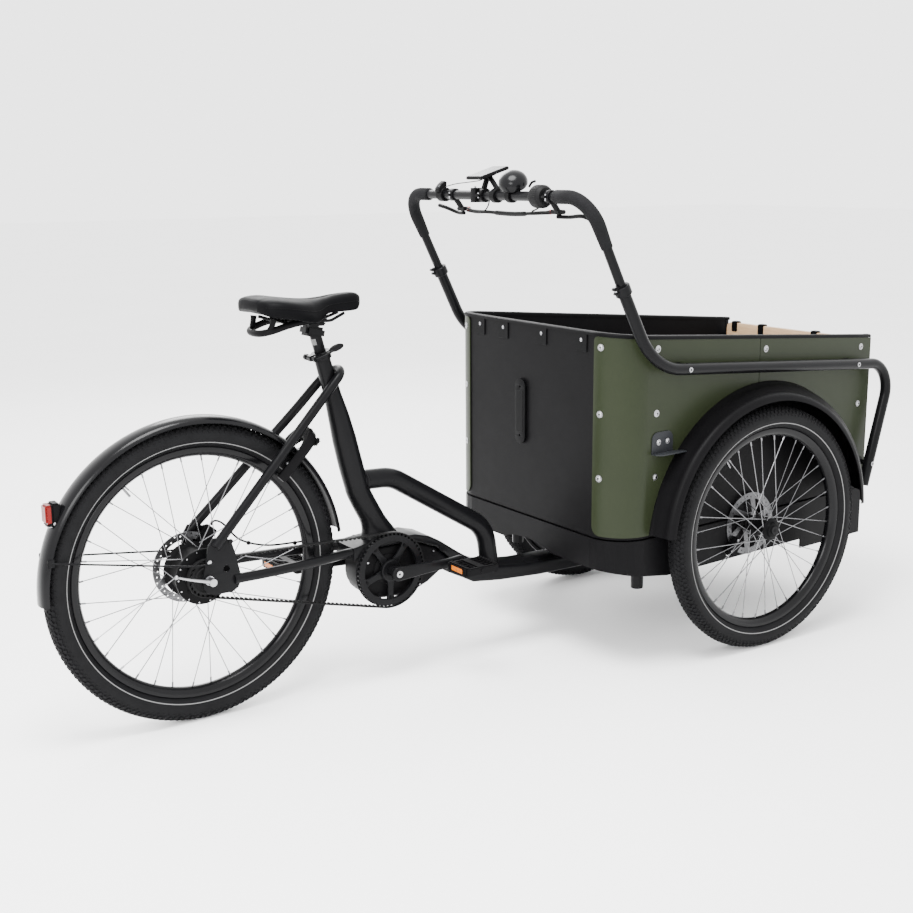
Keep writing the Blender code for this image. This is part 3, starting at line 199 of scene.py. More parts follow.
def lens(name, colour):
    """Ribbed coloured lens."""
    made, tree, shader, place = start_material(name, coat=0.05, specular=0.15)
    ribs = node(tree, "ShaderNodeTexChecker", Scale=420.0)
    ribs.inputs["Color1"].default_value = (*shade_of(colour, 0.8), 1)
    ribs.inputs["Color2"].default_value = (*shade_of(colour, 1.25), 1)
    tree.links.new(place, ribs.inputs["Vector"])
    tree.links.new(ribs.outputs["Color"], shader.inputs["Base Color"])
    tree.links.new(spread(tree, noise(tree, place, 90.0), 0.10, 0.22), shader.inputs["Roughness"])
    bump(tree, shader, ribs.outputs["Fac"], 0.0003, 0.4)
    return made


FRAME_PAINT = surface("frame_powder_coat", (0.0030, 0.0030, 0.0034), 0.30, grain=1400.0, specular=0.07)
BLACK_PLASTIC = surface("moulded_black", (0.0026, 0.0025, 0.0028), 0.42, grain=1100.0, depth=0.0001, specular=0.04)
DARK_PLASTIC = surface("moulded_dark", (0.0016, 0.0016, 0.0018), 0.45, grain=1000.0, depth=0.00008, specular=0.045)
GLOSS = surface("gloss_black", (0.0026, 0.0026, 0.0030), 0.20, specular=0.12)
GREEN = surface("panel_olive", (0.0128, 0.0165, 0.0078), 0.34, tone=0.05, grain=1600.0, depth=0.00003, specular=0.10)
RUBBER = surface("tyre_compound", (0.0032, 0.0032, 0.0036), 0.62, tone=0.2, tone_scale=40.0, grain=700.0,
                 depth=0.0002, specular=0.08)
BELT = surface("belt_rubber", (0.0040, 0.0040, 0.0042), 0.55, grain=1500.0, depth=0.0001, specular=0.09)
STEEL = surface("brushed_steel", (0.33, 0.33, 0.34), 0.30, 1.0, tone=0.08, grain=500.0, stretch=(1, 8, 1))
SPOKE = surface("spoke_steel", (0.15, 0.15, 0.155), 0.28, 1.0, tone=0.06)
ROTOR = surface("rotor_steel", (0.085, 0.085, 0.088), 0.36, 1.0, tone=0.10, grain=600.0)
STRIPE = surface("reflective_band", (0.115, 0.115, 0.115), 0.45, tone=0.05, grain=900.0, specular=0.3)
SCREEN = surface("display_face", (0.020, 0.021, 0.024), 0.25, tone=0.06, specular=0.3)
LIGHT_GREY = surface("plate_grey", (0.012, 0.013, 0.015), 0.40, grain=1200.0, specular=0.14)
RED_METAL = surface("red_anodised", (0.30, 0.01, 0.01), 0.30, 0.8)
WOOD = plywood()
VINYL = leather("saddle_vinyl", (0.0016, 0.0016, 0.0019))
GRIP = wrapped_foam("grip_foam", (0.0034, 0.0034, 0.0039))
RED_LENS = lens("lens_red", (0.11, 0.0016, 0.0008))
AMBER_LENS = lens("lens_amber", (0.42, 0.105, 0.004))


# ---------------------------------------------------------------- shape builders
def at(x, y, z):
    return Vector((x, y, z)) + OFFSET


def bag():
    return bmesh.new()


def add_mesh(bm, mesh, matrix):
    mesh.transform(matrix)
    bm.from_mesh(mesh)
    bpy.data.meshes.remove(mesh)


def add_bm(bm, other, matrix=None):
    mesh = bpy.data.meshes.new("part")
    other.to_mesh(mesh)
    other.free()
    add_mesh(bm, mesh, matrix or Matrix.Identity(4))


def smooth_path(points, steps=6):
    """A Catmull-Rom curve through the points."""
    points = [Vector(point) for point in points]
    ends = [2 * points[0] - points[1], *points, 2 * points[-1] - points[-2]]
    path = []
    for p0, p1, p2, p3 in zip(ends, ends[1:], ends[2:], ends[3:]):
        for step in range(steps):
            t = step / steps
            path.append(0.5 * (2 * p1 + (p2 - p0) * t + (2 * p0 - 5 * p1 + 4 * p2 - p3) * t**2
                               + (3 * p1 - p0 - 3 * p2 + p3) * t**3))
    path.append(points[-1])
    return path


def rounded_path(corners, radii, steps=14):
    path = [Vector(corners[0])]
    for before, corner, after, radius in zip(corners, corners[1:], corners[2:], radii):
        corner = Vector(corner)
        back = (Vector(before) - corner).normalized()
        ahead = (Vector(after) - corner).normalized()
        half = back.angle(ahead) / 2
        reach = radius / math.tan(half)
        centre = corner + (back + ahead).normalized() * (radius / math.sin(half))
        first = (corner + back * reach - centre).normalized()
        last = (corner + ahead * reach - centre).normalized()
        for step in range(steps + 1):
            path.append(centre + first.slerp(last, step / steps) * radius)
    path.append(Vector(corners[-1]))
    return path


def spread_radii(radii, steps):
    """Radii given at a curve's own points, for a path with steps pieces between them."""
    out = []
    for one, two in zip(radii, radii[1:]):
        out += [one + (two - one) * step / steps for step in range(steps)]
    return out + [radii[-1]]


def add_tube(bm, path, radius, sides=24, radii=None, flat=1.0):
    """A capped tube with its own turning frame; flat squeezes it along the frame's second axis."""
    path = [Vector(point) for point in path]
    tangent = (path[1] - path[0]).normalized()
    across = tangent.cross(Z_AXIS if abs(tangent.z) < 0.9 else Y_AXIS).normalized()
    rings = []
    for index, point in enumerate(path):
        before = path[max(index - 1, 0)]
        after = path[min(index + 1, len(path) - 1)]
        now = (after - before).normalized()
        across = tangent.rotation_difference(now) @ across
        tangent = now
        up = tangent.cross(across)
        size = radius * (radii[index] if radii else 1.0)
        rings.append([
            bm.verts.new(point + (across * math.cos(math.tau * k / sides)
                                  + up * math.sin(math.tau * k / sides) * flat) * size)
            for k in range(sides)
        ])
    for one, two in zip(rings, rings[1:]):
        for k in range(sides):
            bm.faces.new((one[k], one[(k + 1) % sides], two[(k + 1) % sides], two[k]))
    bm.faces.new(rings[0][::-1])
    bm.faces.new(rings[-1])


def add_rod(bm, start, end, radius, sides=24, end_radius=None, bevel=0.0):
    start = Vector(start)
    end = Vector(end)
    along = end - start
    part = bmesh.new()
    bmesh.ops.create_cone(part, cap_ends=True, segments=sides, radius1=radius,
                          radius2=radius if end_radius is None else end_radius, depth=along.length)
    if bevel:
        edges = [edge for edge in part.edges if len(edge.link_faces) == 2
                 and any(len(face.verts) > 4 for face in edge.link_faces)]
        bmesh.ops.bevel(part, geom=edges, offset=bevel, segments=2, affect="EDGES")
    turn = along.to_track_quat("Z", "Y").to_matrix().to_4x4()
    add_bm(bm, part, Matrix.Translation((start + end) / 2) @ turn)


def add_block(bm, size, centre, bevel=0.0, turn=None, segments=2):
    part = bmesh.new()
    bmesh.ops.create_cube(part, size=1.0)
    bmesh.ops.scale(part, vec=size, verts=part.verts)
    if bevel:
        bmesh.ops.bevel(part, geom=part.edges[:], offset=bevel, segments=segments, affect="EDGES")
    add_bm(bm, part, Matrix.Translation(centre) @ (turn or Matrix.Identity(4)))


def add_ball(bm, centre, radius, scale=(1, 1, 1), turn=None):
    part = bmesh.new()
    bmesh.ops.create_uvsphere(part, u_segments=24, v_segments=12, radius=radius)
    bmesh.ops.scale(part, vec=scale, verts=part.verts)
    add_bm(bm, part, Matrix.Translation(centre) @ (turn or Matrix.Identity(4)))


def y_turn():
    return Matrix.Rotation(-math.pi / 2, 4, "X")


def add_lathe(bm, profile, steps, centre, axis="Y", closed=True, turn=None, phase=0.0):
    """Turns (radius, height) points about an axis; heights run along it."""
    if turn is None:
        turn = y_turn() if axis == "Y" else Matrix.Identity(4)
    part = bmesh.new()
    rings = []
    for step in range(steps):
        angle = math.tau * step / steps + phase
        ring = [part.verts.new((r * math.cos(angle), r * math.sin(angle), h)) for r, h in profile]
        rings.append(ring)
    last = len(profile) if closed else len(profile) - 1
    for one, two in zip(rings, rings[1:] + rings[:1]):
        for k in range(last):
            after = (k + 1) % len(profile)
            part.faces.new((one[k], two[k], two[after], one[after]))
    bmesh.ops.remove_doubles(part, verts=part.verts, dist=0.000001)
    bmesh.ops.recalc_face_normals(part, faces=part.faces)
    add_bm(bm, part, Matrix.Translation(centre) @ turn)


def add_plate(bm, outlines, thickness, centre, turn=None, bevel=0.0):
    """A plate from closed outlines in its own XY, later ones being holes; upright in XZ by default."""
    if turn is None:
        turn = Matrix.Rotation(math.pi / 2, 4, "X")
    curve = bpy.data.curves.new("outline", "CURVE")
    curve.dimensions = "2D"
    curve.fill_mode = "BOTH"
    curve.extrude = thickness / 2 - bevel
    curve.bevel_depth = bevel
    curve.bevel_resolution = 2
    curve.offset = -bevel
    for outline in outlines:
        spline = curve.splines.new("POLY")
        spline.points.add(len(outline) - 1)
        for index, (across, up) in enumerate(outline):
            spline.points[index].co = (across, up, 0.0, 1.0)
        spline.use_cyclic_u = True
    obj = bpy.data.objects.new("outline", curve)
    bpy.context.scene.collection.objects.link(obj)
    graph = bpy.context.evaluated_depsgraph_get()
    mesh = bpy.data.meshes.new_from_object(obj.evaluated_get(graph))
    bpy.data.objects.remove(obj, do_unlink=True)
    add_mesh(bm, mesh, Matrix.Translation(centre) @ turn)


def circle(x, y, radius, steps, start=0.0, sweep=math.tau):
    count = steps if abs(sweep) >= math.tau else steps + 1
    return [(x + radius * math.cos(start + sweep * k / steps), y + radius * math.sin(start + sweep * k / steps))
            for k in range(count)]


def make(bm, name, material, body, stands_for=(), angle=35.0):
    """Ends a piece: welds it, shades it, and hangs it on its CAD body."""
    bmesh.ops.remove_doubles(bm, verts=bm.verts, dist=0.000002)
    bmesh.ops.recalc_face_normals(bm, faces=bm.faces)
    mesh = bpy.data.meshes.new(name)
    bm.to_mesh(mesh)
    bm.free()
    mesh.transform(Matrix.Translation(OFFSET))
    return adopt(bpy.data.objects.new(name, mesh), material, body, stands_for, angle)


def adopt(obj, material, body, stands_for=(), angle=35.0):
    if obj.name not in bpy.context.scene.collection.objects:
        bpy.context.scene.collection.objects.link(obj)
    obj.data.materials.clear()
    obj.data.materials.append(material)
    obj.data.shade_smooth()
    obj.data.set_sharp_from_angle(angle=math.radians(angle))
    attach(obj, body)
    if stands_for:
        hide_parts(*stands_for)
    return obj


def keep(name, material, angle=35.0):
    """A CAD node that stays, with its better finish."""
    obj = NODES[name]
    obj.data.materials.clear()
    obj.data.materials.append(material)
    obj.data.shade_smooth()
    obj.data.set_sharp_from_angle(angle=math.radians(angle))


# ---------------------------------------------------------------- wheels
def tyre_point(radius, angle, swell=0.0):
    """(radius, sideways) on the casing; angle 0 is the widest place and 90 degrees the crown."""
    half = 0.0272
    return radius - half + (half + swell) * math.sin(angle), (half + swell) * math.cos(angle)


def add_tyre(bm, radius, centre):
    crown = radius - 0.0016
    profile = [tyre_point(crown, math.radians(a)) for a in range(-62, 243, 8)]
    inner = [(r - 0.0030 if 60 < a < 120 else r, y * 0.86)
             for a, (r, y) in zip(range(242, -63, -16), [tyre_point(crown, math.radians(a))
                                                      for a in range(242, -63, -16)])]
    inner = [(min(r, crown - 0.006), y) for r, y in inner]
    add_lathe(bm, profile + inner, 144, centre)
    rows = ((90, 0.0, 0.0062, 0.0076), (72, 0.5, 0.0064, 0.0066), (108, 0.5, 0.0064, 0.0066),
            (55, 0.0, 0.0086, 0.0070), (125, 0.0, 0.0086, 0.0070), (38, 0.5, 0.0082, 0.0078),
            (142, 0.5, 0.0082, 0.0078), (22, 0.0, 0.0046, 0.0050), (158, 0.0, 0.0046, 0.0050))
    count = round(math.tau * radius / 0.0132)
    for degrees, shift, long, wide in rows:
        angle = math.radians(degrees)
        r, y = tyre_point(crown, angle)
        lean = math.pi / 2 - angle
        for index in range(count):
            about = math.tau * (index + shift) / count
            skew = 0.35 if index % 2 else -0.35
            out = Vector((math.cos(about) * math.cos(lean), math.sin(lean), math.sin(about) * math.cos(lean)))
            ahead = Vector((-math.sin(about), 0, math.cos(about)))
            side = out.cross(ahead)
            first = ahead * math.cos(skew) + side * math.sin(skew)
            second = out.cross(first)
            middle = Vector((r * math.cos(about), y, r * math.sin(about))) + centre
            rise = 0.0015 if 60 < degrees < 120 else 0.0024 if 30 < degrees < 150 else 0.0012
            low = [bm.verts.new(middle - out * 0.0006 + first * a * long / 2 + second * b * wide / 2)
                   for a, b in ((-1, -1), (1, -1), (1, 1), (-1, 1))]
            high = [bm.verts.new(middle + out * rise + first * a * long * 0.42 + second * b * wide * 0.42)
                    for a, b in ((-1, -1), (1, -1), (1, 1), (-1, 1))]
            bm.faces.new(high)
            for k in range(4):
                bm.faces.new((low[k], low[(k + 1) % 4], high[(k + 1) % 4], high[k]))


def add_stripes(bm, radius, stripe, centre):
    """The thin reflective rings on both sidewalls."""
    half = 0.0272
    crown = radius - 0.0016
    angle = math.asin((stripe - (crown - half)) / half)
    for side in (-1, 1):
        band = [tyre_point(crown, angle + step, lift)
                for step, lift in ((-0.042, 0.0001), (-0.030, 0.0005), (0.030, 0.0005), (0.042, 0.0001))]
        add_lathe(bm, [(r, side * y) for r, y in band], 144, centre)


def add_hoop(bm, radius, centre):
    seat = radius - 0.054
    profile = [(seat + 0.002, 0.0125), (seat - 0.001, 0.0147), (seat - 0.010, 0.0148), (seat - 0.016, 0.0110),
               (seat - 0.0205, 0.0045), (seat - 0.0212, 0.0)]
    profile = profile + [(r, -y) for r, y in reversed(profile[:-1])] + [(seat - 0.004, -0.010), (seat - 0.004, 0.010)]
    add_lathe(bm, profile, 144, centre)


def add_spokes(bm, nipples, radius, centre, flange, flange_half, shift, crossing):
    """Thirty-six laced spokes with their nipples."""
    foot = radius - 0.054 - 0.0205
    for index in range(36):
        side = 1 if index % 2 else -1
        pull = 1 if (index // 2) % 2 else -1
        rim_angle = math.radians(10 * index + 5)
        hub_angle = rim_angle + pull * math.radians(crossing)
        start = Vector((math.cos(hub_angle) * flange, shift + side * (flange_half + 0.0012 * pull),
                        math.sin(hub_angle) * flange)) + centre
        end = Vector((math.cos(rim_angle) * foot, side * 0.002, math.sin(rim_angle) * foot)) + centre
        along = (end - start).normalized()
        add_tube(bm, [start - along * 0.001, end], 0.00105, 6)
        add_tube(nipples, [end - along * 0.011, end - along * 0.0105, end + along * 0.002], 0.0021, 6,
                 [0.6, 1.0, 1.0])


def add_rotor(bm, centre, inner=0.0225):
    """A drilled disc: a braking ring on six curved arms."""
    holes = [circle(0, 0, 0.0175, 40)]
    for index in range(6):
        start = math.tau * index / 6 + 0.13
        end = math.tau * (index + 1) / 6 - 0.13
        swirl = 0.42
        outer = [(0.0640 * math.cos(a), 0.0640 * math.sin(a))
                 for a in (start + swirl + (end - start) * k / 8 for k in range(9))]
        inside = [((inner + 0.006) * math.cos(a), (inner + 0.006) * math.sin(a))
                  for a in (end - 0.16 - (end - start - 0.32) * k / 5 for k in range(6))]
        holes.append(outer + inside)
    for index in range(36):
        angle = math.tau * index / 36
        reach = (0.0685, 0.0720, 0.0755)[index % 3]
        holes.append(circle(reach * math.cos(angle), reach * math.sin(angle), 0.0019, 8))
    add_plate(bm, [circle(0, 0, 0.0798, 96)] + holes, 0.0018, centre)


def wheel(radius, centre, body, label, tyre_nodes, rim_nodes, stripe, flange, flange_half, shift, crossing):
    part = bag()
    add_tyre(part, radius, centre)
    make(part, f"{label}_tyre_tread", RUBBER, body, tyre_nodes)
    part = bag()
    add_stripes(part, radius, stripe, centre)
    make(part, f"{label}_reflective_bands", STRIPE, body)
    part = bag()
    add_hoop(part, radius, centre)
    make(part, f"{label}_rim_hoop", GLOSS, body, rim_nodes)
    spokes = bag()
    nipples = bag()
    add_spokes(spokes, nipples, radius, centre, flange, flange_half, shift, crossing)
    reach = radius - 0.054 - 0.0205
    add_rod(nipples, centre + Vector((math.cos(2.2) * (reach + 0.001), 0.003, math.sin(2.2) * (reach + 0.001))),
            centre + Vector((math.cos(2.2) * (reach - 0.026), 0.003, math.sin(2.2) * (reach - 0.026))), 0.0028, 10,
            bevel=0.0006)
    make(spokes, f"{label}_spokes", SPOKE, body)
    make(nipples, f"{label}_nipples", SPOKE, body)


REAR_CENTRE = Vector((0, 0, AXLE_Z))
wheel(AXLE_Z, REAR_CENTRE, "rear_wheel_body", "rear", ["rear_tyre"], ["rear_rim"], 0.2908, 0.0590, 0.0335, -0.002, 34)

hub = bag()
add_lathe(hub, [(0.0066, -0.0445), (0.026, -0.0445), (0.030, -0.0430), (0.0605, -0.0385), (0.0618, -0.0372),
                (0.0618, -0.0322), (0.0600, -0.0308), (0.0530, -0.0268), (0.0520, -0.024), (0.0520, 0.024),
                (0.0530, 0.0268), (0.0600, 0.0308), (0.0618, 0.0322), (0.0618, 0.0352), (0.0600, 0.0364),
                (0.0300, 0.0400), (0.0225, 0.0420), (0.0210, 0.0440), (0.0210, 0.0558), (0.0066, 0.0558)],
          72, REAR_CENTRE)
for ring in range(10):
    turn = math.tau * ring / 10
    add_rod(hub, REAR_CENTRE + Vector((math.cos(turn) * 0.042, -0.0405, math.sin(turn) * 0.042)),
            REAR_CENTRE + Vector((math.cos(turn) * 0.042, -0.0425, math.sin(turn) * 0.042)), 0.0045, 12, bevel=0.0006)
flange_bolts = bag()
for ring in range(14):
    turn = math.tau * ring / 14
    add_rod(flange_bolts, REAR_CENTRE + Vector((math.cos(turn) * 0.0570, -0.0380, math.sin(turn) * 0.0570)),
            REAR_CENTRE + Vector((math.cos(turn) * 0.0570, -0.0402, math.sin(turn) * 0.0570)), 0.0017, 10)
make(flange_bolts, "rear_flange_bolts", STEEL, "rear_wheel_body")
make(hub, "rear_hub_shell", DARK_PLASTIC, "rear_wheel_body", ["rear_hub"])
disc = bag()
add_rotor(disc, Vector((0, 0.0515, AXLE_Z)))
add_lathe(disc, [(0.0070, 0.0015), (0.0185, 0.0015), (0.0200, 0.0030), (0.0200, 0.0042), (0.0070, 0.0042)], 30,
          Vector((0, 0.0515, AXLE_Z)))
make(disc, "rear_rotor_disc", ROTOR, "rear_wheel_body", ["rear_rotor"])

for side, label in ((-1, "right"), (1, "left")):
    centre = Vector((FRONT_AXLE.x, side * FRONT_AXLE.y, FRONT_AXLE.z))
    body = f"front_wheel_{label}_body"
    wheel(FRONT_AXLE.z, centre, body, f"front_{label}", [f"front_tyre_{label}"], [f"front_rim_{label}"],
          0.2672, 0.0270, 0.0215, 0.0, 58)
    hub = bag()
    profile = [(0.0104, -0.0478), (0.0200, -0.0478), (0.0215, -0.0440), (0.0190, -0.0400), (0.0200, -0.0270),
               (0.0280, -0.0240), (0.0285, -0.0215), (0.0270, -0.0195), (0.0175, -0.0165), (0.0160, 0.0),
               (0.0175, 0.0165), (0.0270, 0.0195), (0.0285, 0.0215), (0.0280, 0.0240), (0.0200, 0.0270),
               (0.0185, 0.0300), (0.0180, 0.0325), (0.0150, 0.0338), (0.0104, 0.0338)]
    add_lathe(hub, [(r, side * y) for r, y in profile], 60, centre)
    make(hub, f"front_hub_shell_{label}", DARK_PLASTIC, body, [f"front_hub_{label}"])
    disc = bag()
    add_rotor(disc, centre + Vector((0, -side * 0.0491, 0)))
    for bolt in range(6):
        turn = math.tau * bolt / 6 + 0.5
        spot = centre + Vector((math.cos(turn) * 0.0225, -side * 0.0476, math.sin(turn) * 0.0225))
        add_rod(disc, spot, spot + Vector((0, side * 0.0022, 0)), 0.0035, 12, bevel=0.0005)
    make(disc, f"front_rotor_disc_{label}", ROTOR, body)
    caps = bag()
    tip = centre + Vector((0, side * 0.0345, 0))
    add_lathe(caps, [(0.0002, side * 0.0030), (0.0098, side * 0.0026), (0.0112, side * 0.0008),
                     (0.0112, 0.0), (0.0002, 0.0)], 30, tip)
    make(caps, f"front_hub_cap_{label}", BLACK_PLASTIC, body)


# ---------------------------------------------------------------- belt drive
BELT_Y = -0.052
PITCH = 0.011
RING_R = 50 * PITCH / math.tau
COG_R = 22 * PITCH / math.tau


def belt_outline(extra, steps=40):
    span = Vector((CRANK.x, CRANK.z - AXLE_Z))
    lean = math.atan2(span.y, span.x)
    wrap = math.acos((COG_R - RING_R) / span.length)
    small = circle(0, AXLE_Z, COG_R + extra, steps, lean + wrap, math.tau - 2 * wrap)
    large = circle(CRANK.x, CRANK.z, RING_R + extra, steps, lean - wrap, 2 * wrap)
    return small + large


belt = bag()
add_plate(belt, [belt_outline(0.0040), belt_outline(0.0016)], 0.0108, (0, BELT_Y, 0))
loop = [Vector((x, 0, z)) for x, z in belt_outline(0.0012, 80)]
loop.append(loop[0])
travel = 0.0
goal = 0.0
for one, two in zip(loop, loop[1:]):
    length = (two - one).length
    while goal <= travel + length and length > 1e-6:
        spot = one.lerp(two, (goal - travel) / length)
        way = (two - one).normalized()
        inward = Vector((-way.z, 0, way.x))
        turn = Matrix((way, Y_AXIS, way.cross(Y_AXIS))).transposed().to_4x4()
        add_block(belt, (0.0055, 0.0104, 0.0030), spot + inward * 0.0010 + Vector((0, BELT_Y, 0)), 0.0009, turn, 1)
        goal += PITCH
    travel += length
make(belt, "toothed_belt", BELT, REAR, ["drive_belt"])

cog = bag()
add_lathe(cog, [(0.0300, -0.0052), (COG_R - 0.0034, -0.0052), (COG_R - 0.0034, 0.0052), (0.0300, 0.0052)], 72,
          Vector((0, BELT_Y, AXLE_Z)))
add_lathe(cog, [(0.0066, -0.0052), (0.0240, -0.0052), (0.0260, -0.0030), (0.0300, -0.0030), (0.0300, 0.0030),
                (0.0066, 0.0030)], 48, Vector((0, BELT_Y, AXLE_Z)))
for tooth in range(22):
    angle = math.tau * tooth / 22
    turn = Matrix.Rotation(-angle, 4, "Y")
    add_block(cog, (0.0034, 0.0102, 0.0046),
              Vector((math.cos(angle) * (COG_R - 0.0026), BELT_Y, AXLE_Z + math.sin(angle) * (COG_R - 0.0026))),
              0.0008, turn, 1)
make(cog, "rear_cog", BELT, "sprocket_body", ["rear_sprocket"])

ring = bag()
ring_at = Vector((CRANK.x, BELT_Y, CRANK.z))
add_lathe(ring, [(0.0702, -0.0054), (RING_R - 0.0034, -0.0054), (RING_R - 0.0034, 0.0054), (0.0702, 0.0054)], 120,
          ring_at)
add_lathe(ring, [(0.0768, 0.0022), (0.0786, 0.0030), (RING_R + 0.0008, 0.0050), (RING_R + 0.0008, 0.0056),
                 (0.0786, 0.0056), (0.0768, 0.0044)], 120, ring_at)
for tooth in range(50):
    angle = math.tau * tooth / 50
    add_block(ring, (0.0034, 0.0104, 0.0048),
              ring_at + Vector((math.cos(angle) * (RING_R - 0.0026), 0, math.sin(angle) * (RING_R - 0.0026))),
              0.0008, Matrix.Rotation(-angle, 4, "Y"), 1)
for arm in range(5):
    angle = -math.tau * (arm + 0.25) / 5
    long = Vector((math.cos(angle), 0, math.sin(angle)))
    square = Vector((-math.sin(angle), 0, math.cos(angle)))
    shape = [(0.018, -0.0105), (0.040, -0.0068), (0.060, -0.0068), (0.0785, -0.0135), (0.0785, 0.0135),
             (0.060, 0.0068), (0.040, 0.0068), (0.018, 0.0105)]
    turn = Matrix((long, square, long.cross(square))).transposed().to_4x4()
    add_plate(ring, [shape], 0.0058, ring_at, turn, 0.0009)
add_lathe(ring, [(0.0127, -0.0098), (0.0235, -0.0098), (0.0258, -0.0080), (0.0258, 0.0038), (0.0127, 0.0038)], 60,
          ring_at)
make(ring, "belt_ring_wheel", FRAME_PAINT, CRANKS, ["belt_ring"])
ring_bolts = bag()
for arm in range(5):
    angle = -math.tau * (arm + 0.25) / 5
    spot = ring_at + Vector((math.cos(angle) * 0.0668, -0.0026, math.sin(angle) * 0.0668))
    add_rod(ring_bolts, spot, spot - Vector((0, 0.0026, 0)), 0.0042, 20, bevel=0.0006)
make(ring_bolts, "belt_ring_bolts", DARK_PLASTIC, CRANKS)


# ---------------------------------------------------------------- cranks and pedals
LIFT = math.radians(1)


def crank_turn(side):
    return Matrix.Rotation(-LIFT if side < 0 else math.pi - LIFT, 4, "Y")


for side, label in ((-1, "right"), (1, "left")):
    arm = bag()
    place = Matrix.Translation(CRANK) @ crank_turn(side)
    outline = circle(0, 0, 0.0170, 20, math.pi / 2, math.pi)
    outline += [(0.030, -0.0152), (0.090, -0.0118), (0.140, -0.0112)]
    outline += circle(0.170, 0, 0.0130, 18, -math.pi / 2, math.pi)
    outline += [(0.140, 0.0112), (0.090, 0.0118), (0.030, 0.0152)]
    local = bag()
    add_plate(local, [outline], 0.0130, (0, side * 0.090, 0), None, 0.0030)
    if side < 0:
        add_rod(local, (0, -0.0860, 0), (0, 0.0965, 0), 0.0121, 40)
    add_rod(local, (0, side * 0.0960, 0), (0, side * 0.0968, 0), 0.0130, 40)
    add_bm(arm, local, place)
    make(arm, f"crank_arm_{label}", FRAME_PAINT, CRANKS, [f"crank_{label}"], 40)
    bolt = bag()
    local = bag()
    add_lathe(local, [(0.0030, side * 0.0), (0.0066, side * 0.0), (0.0080, side * 0.0006), (0.0080, -side * 0.0015),
                      (0.0030, -side * 0.0015)], 30, Vector((0, side * 0.0972, 0)))
    add_lathe(local, [(0.0001, -side * 0.0006), (0.0032, -side * 0.0006), (0.0032, -side * 0.0015),
                      (0.0001, -side * 0.0015)], 6, Vector((0, side * 0.0972, 0)))
    add_bm(bolt, local, place)
    make(bolt, f"crank_bolt_{label}", STEEL, CRANKS)

for side, label in ((-1, "right"), (1, "left")):
    body = f"pedal_{label}_body"
    spin = Vector(JOINTS[f"pedal_{label}_spin"]["pos_m"]) - OFFSET
    pedal = bag()
    middle = spin + Vector((0, side * 0.003, 0))
    for ahead in (-1, 1):
        add_block(pedal, (0.0125, 0.0800, 0.0215), middle + Vector((ahead * 0.0395, 0, 0)), 0.0028)
        for rib in range(7):
            spot = middle + Vector((ahead * 0.0395, (rib - 3) * 0.0105, 0))
            add_block(pedal, (0.0105, 0.0040, 0.0236), spot, 0.0008, None, 1)
    for across in (-1, 1):
        add_block(pedal, (0.0820, 0.0100, 0.0180), middle + Vector((0, across * 0.0355, 0)), 0.0024)
    add_block(pedal, (0.0260, 0.0800, 0.0190), middle, 0.0040)
    for row in range(5):
        for ahead in (-1, 1):
            spot = middle + Vector((ahead * 0.0200, (row - 2) * 0.0150, 0))
            add_block(pedal, (0.0260, 0.0030, 0.0120), spot, 0.0008, None, 1)
    add_rod(pedal, (spin.x, side * 0.0850, spin.z), (spin.x, side * 0.1900, spin.z), 0.0062, 20, bevel=0.0008)
    add_rod(pedal, (spin.x, side * 0.0975, spin.z), (spin.x, side * 0.1060, spin.z), 0.0088, 6)
    make(pedal, f"pedal_cage_{label}", BLACK_PLASTIC, body, [f"pedal_{label}"])
    glow = bag()
    for ahead in (-1, 1):
        add_block(glow, (0.0020, 0.0440, 0.0110), middle + Vector((ahead * 0.0459, 0, 0)), 0.0006, None, 1)
    make(glow, f"pedal_reflectors_{label}", AMBER_LENS, body)


# ---------------------------------------------------------------- rear frame
SEAT_TOP = Vector((0.3179, 0, 0.7887))
SEAT_AXIS = Vector(JOINTS["seat_post_slide"]["axis"]).normalized()
SEAT_AHEAD = Y_AXIS.cross(SEAT_AXIS)

tubes = bag()
seat_points = [SEAT_TOP, SEAT_TOP - SEAT_AXIS * 0.1, (0.3581, 0, 0.6458), (0.3720, 0, 0.5886), (0.3861, 0, 0.5306),
               (0.4000, 0, 0.4790), (0.4110, 0, 0.4469), (0.4580, 0, 0.360)]
add_tube(tubes, smooth_path(seat_points, 8), 0.0175, 40,
         spread_radii([1.0, 1.15, 1.37, 1.58, 1.63, 1.62, 1.60, 1.62], 8))
foot_levels = smooth_path([(0.402, 0.4353, 0.0310), (0.380, 0.4475, 0.0345), (0.362, 0.4560, 0.0400), (0.350, 0.4600, 0.0465),
                           (0.3385, 0.4620, 0.0540)], 4)
foot_rings = []
for level in foot_levels:
    wide = 0.0278 + (level.z - 0.0310) * 0.45
    foot_rings.append([tubes.verts.new((level.y + level.z * a, wide * b, level.x)) for a, b in circle(0, 0, 1.0, 40)])
for one, two in zip(foot_rings, foot_rings[1:]):
    for k in range(40):
        tubes.faces.new((one[k], one[(k + 1) % 40], two[(k + 1) % 40], two[k]))
tubes.faces.new(foot_rings[0])
tubes.faces.new(foot_rings[-1][::-1])
main_path = rounded_path([(0.400, 0, 0.485), (0.4950, 0, 0.4812), (0.7615, 0, 0.318), (0.7775, 0, 0.200)],
                         [0.10, 0.090], 20)
add_tube(tubes, main_path, 0.0236, 40)
add_lathe(tubes, [(0.0225, -0.0040), (0.0262, -0.0015), (0.0262, 0.0015), (0.0225, 0.0040)], 40,
          (0.4205, 0, 0.4835), turn=Matrix.Rotation(math.radians(84), 4, "Y"))
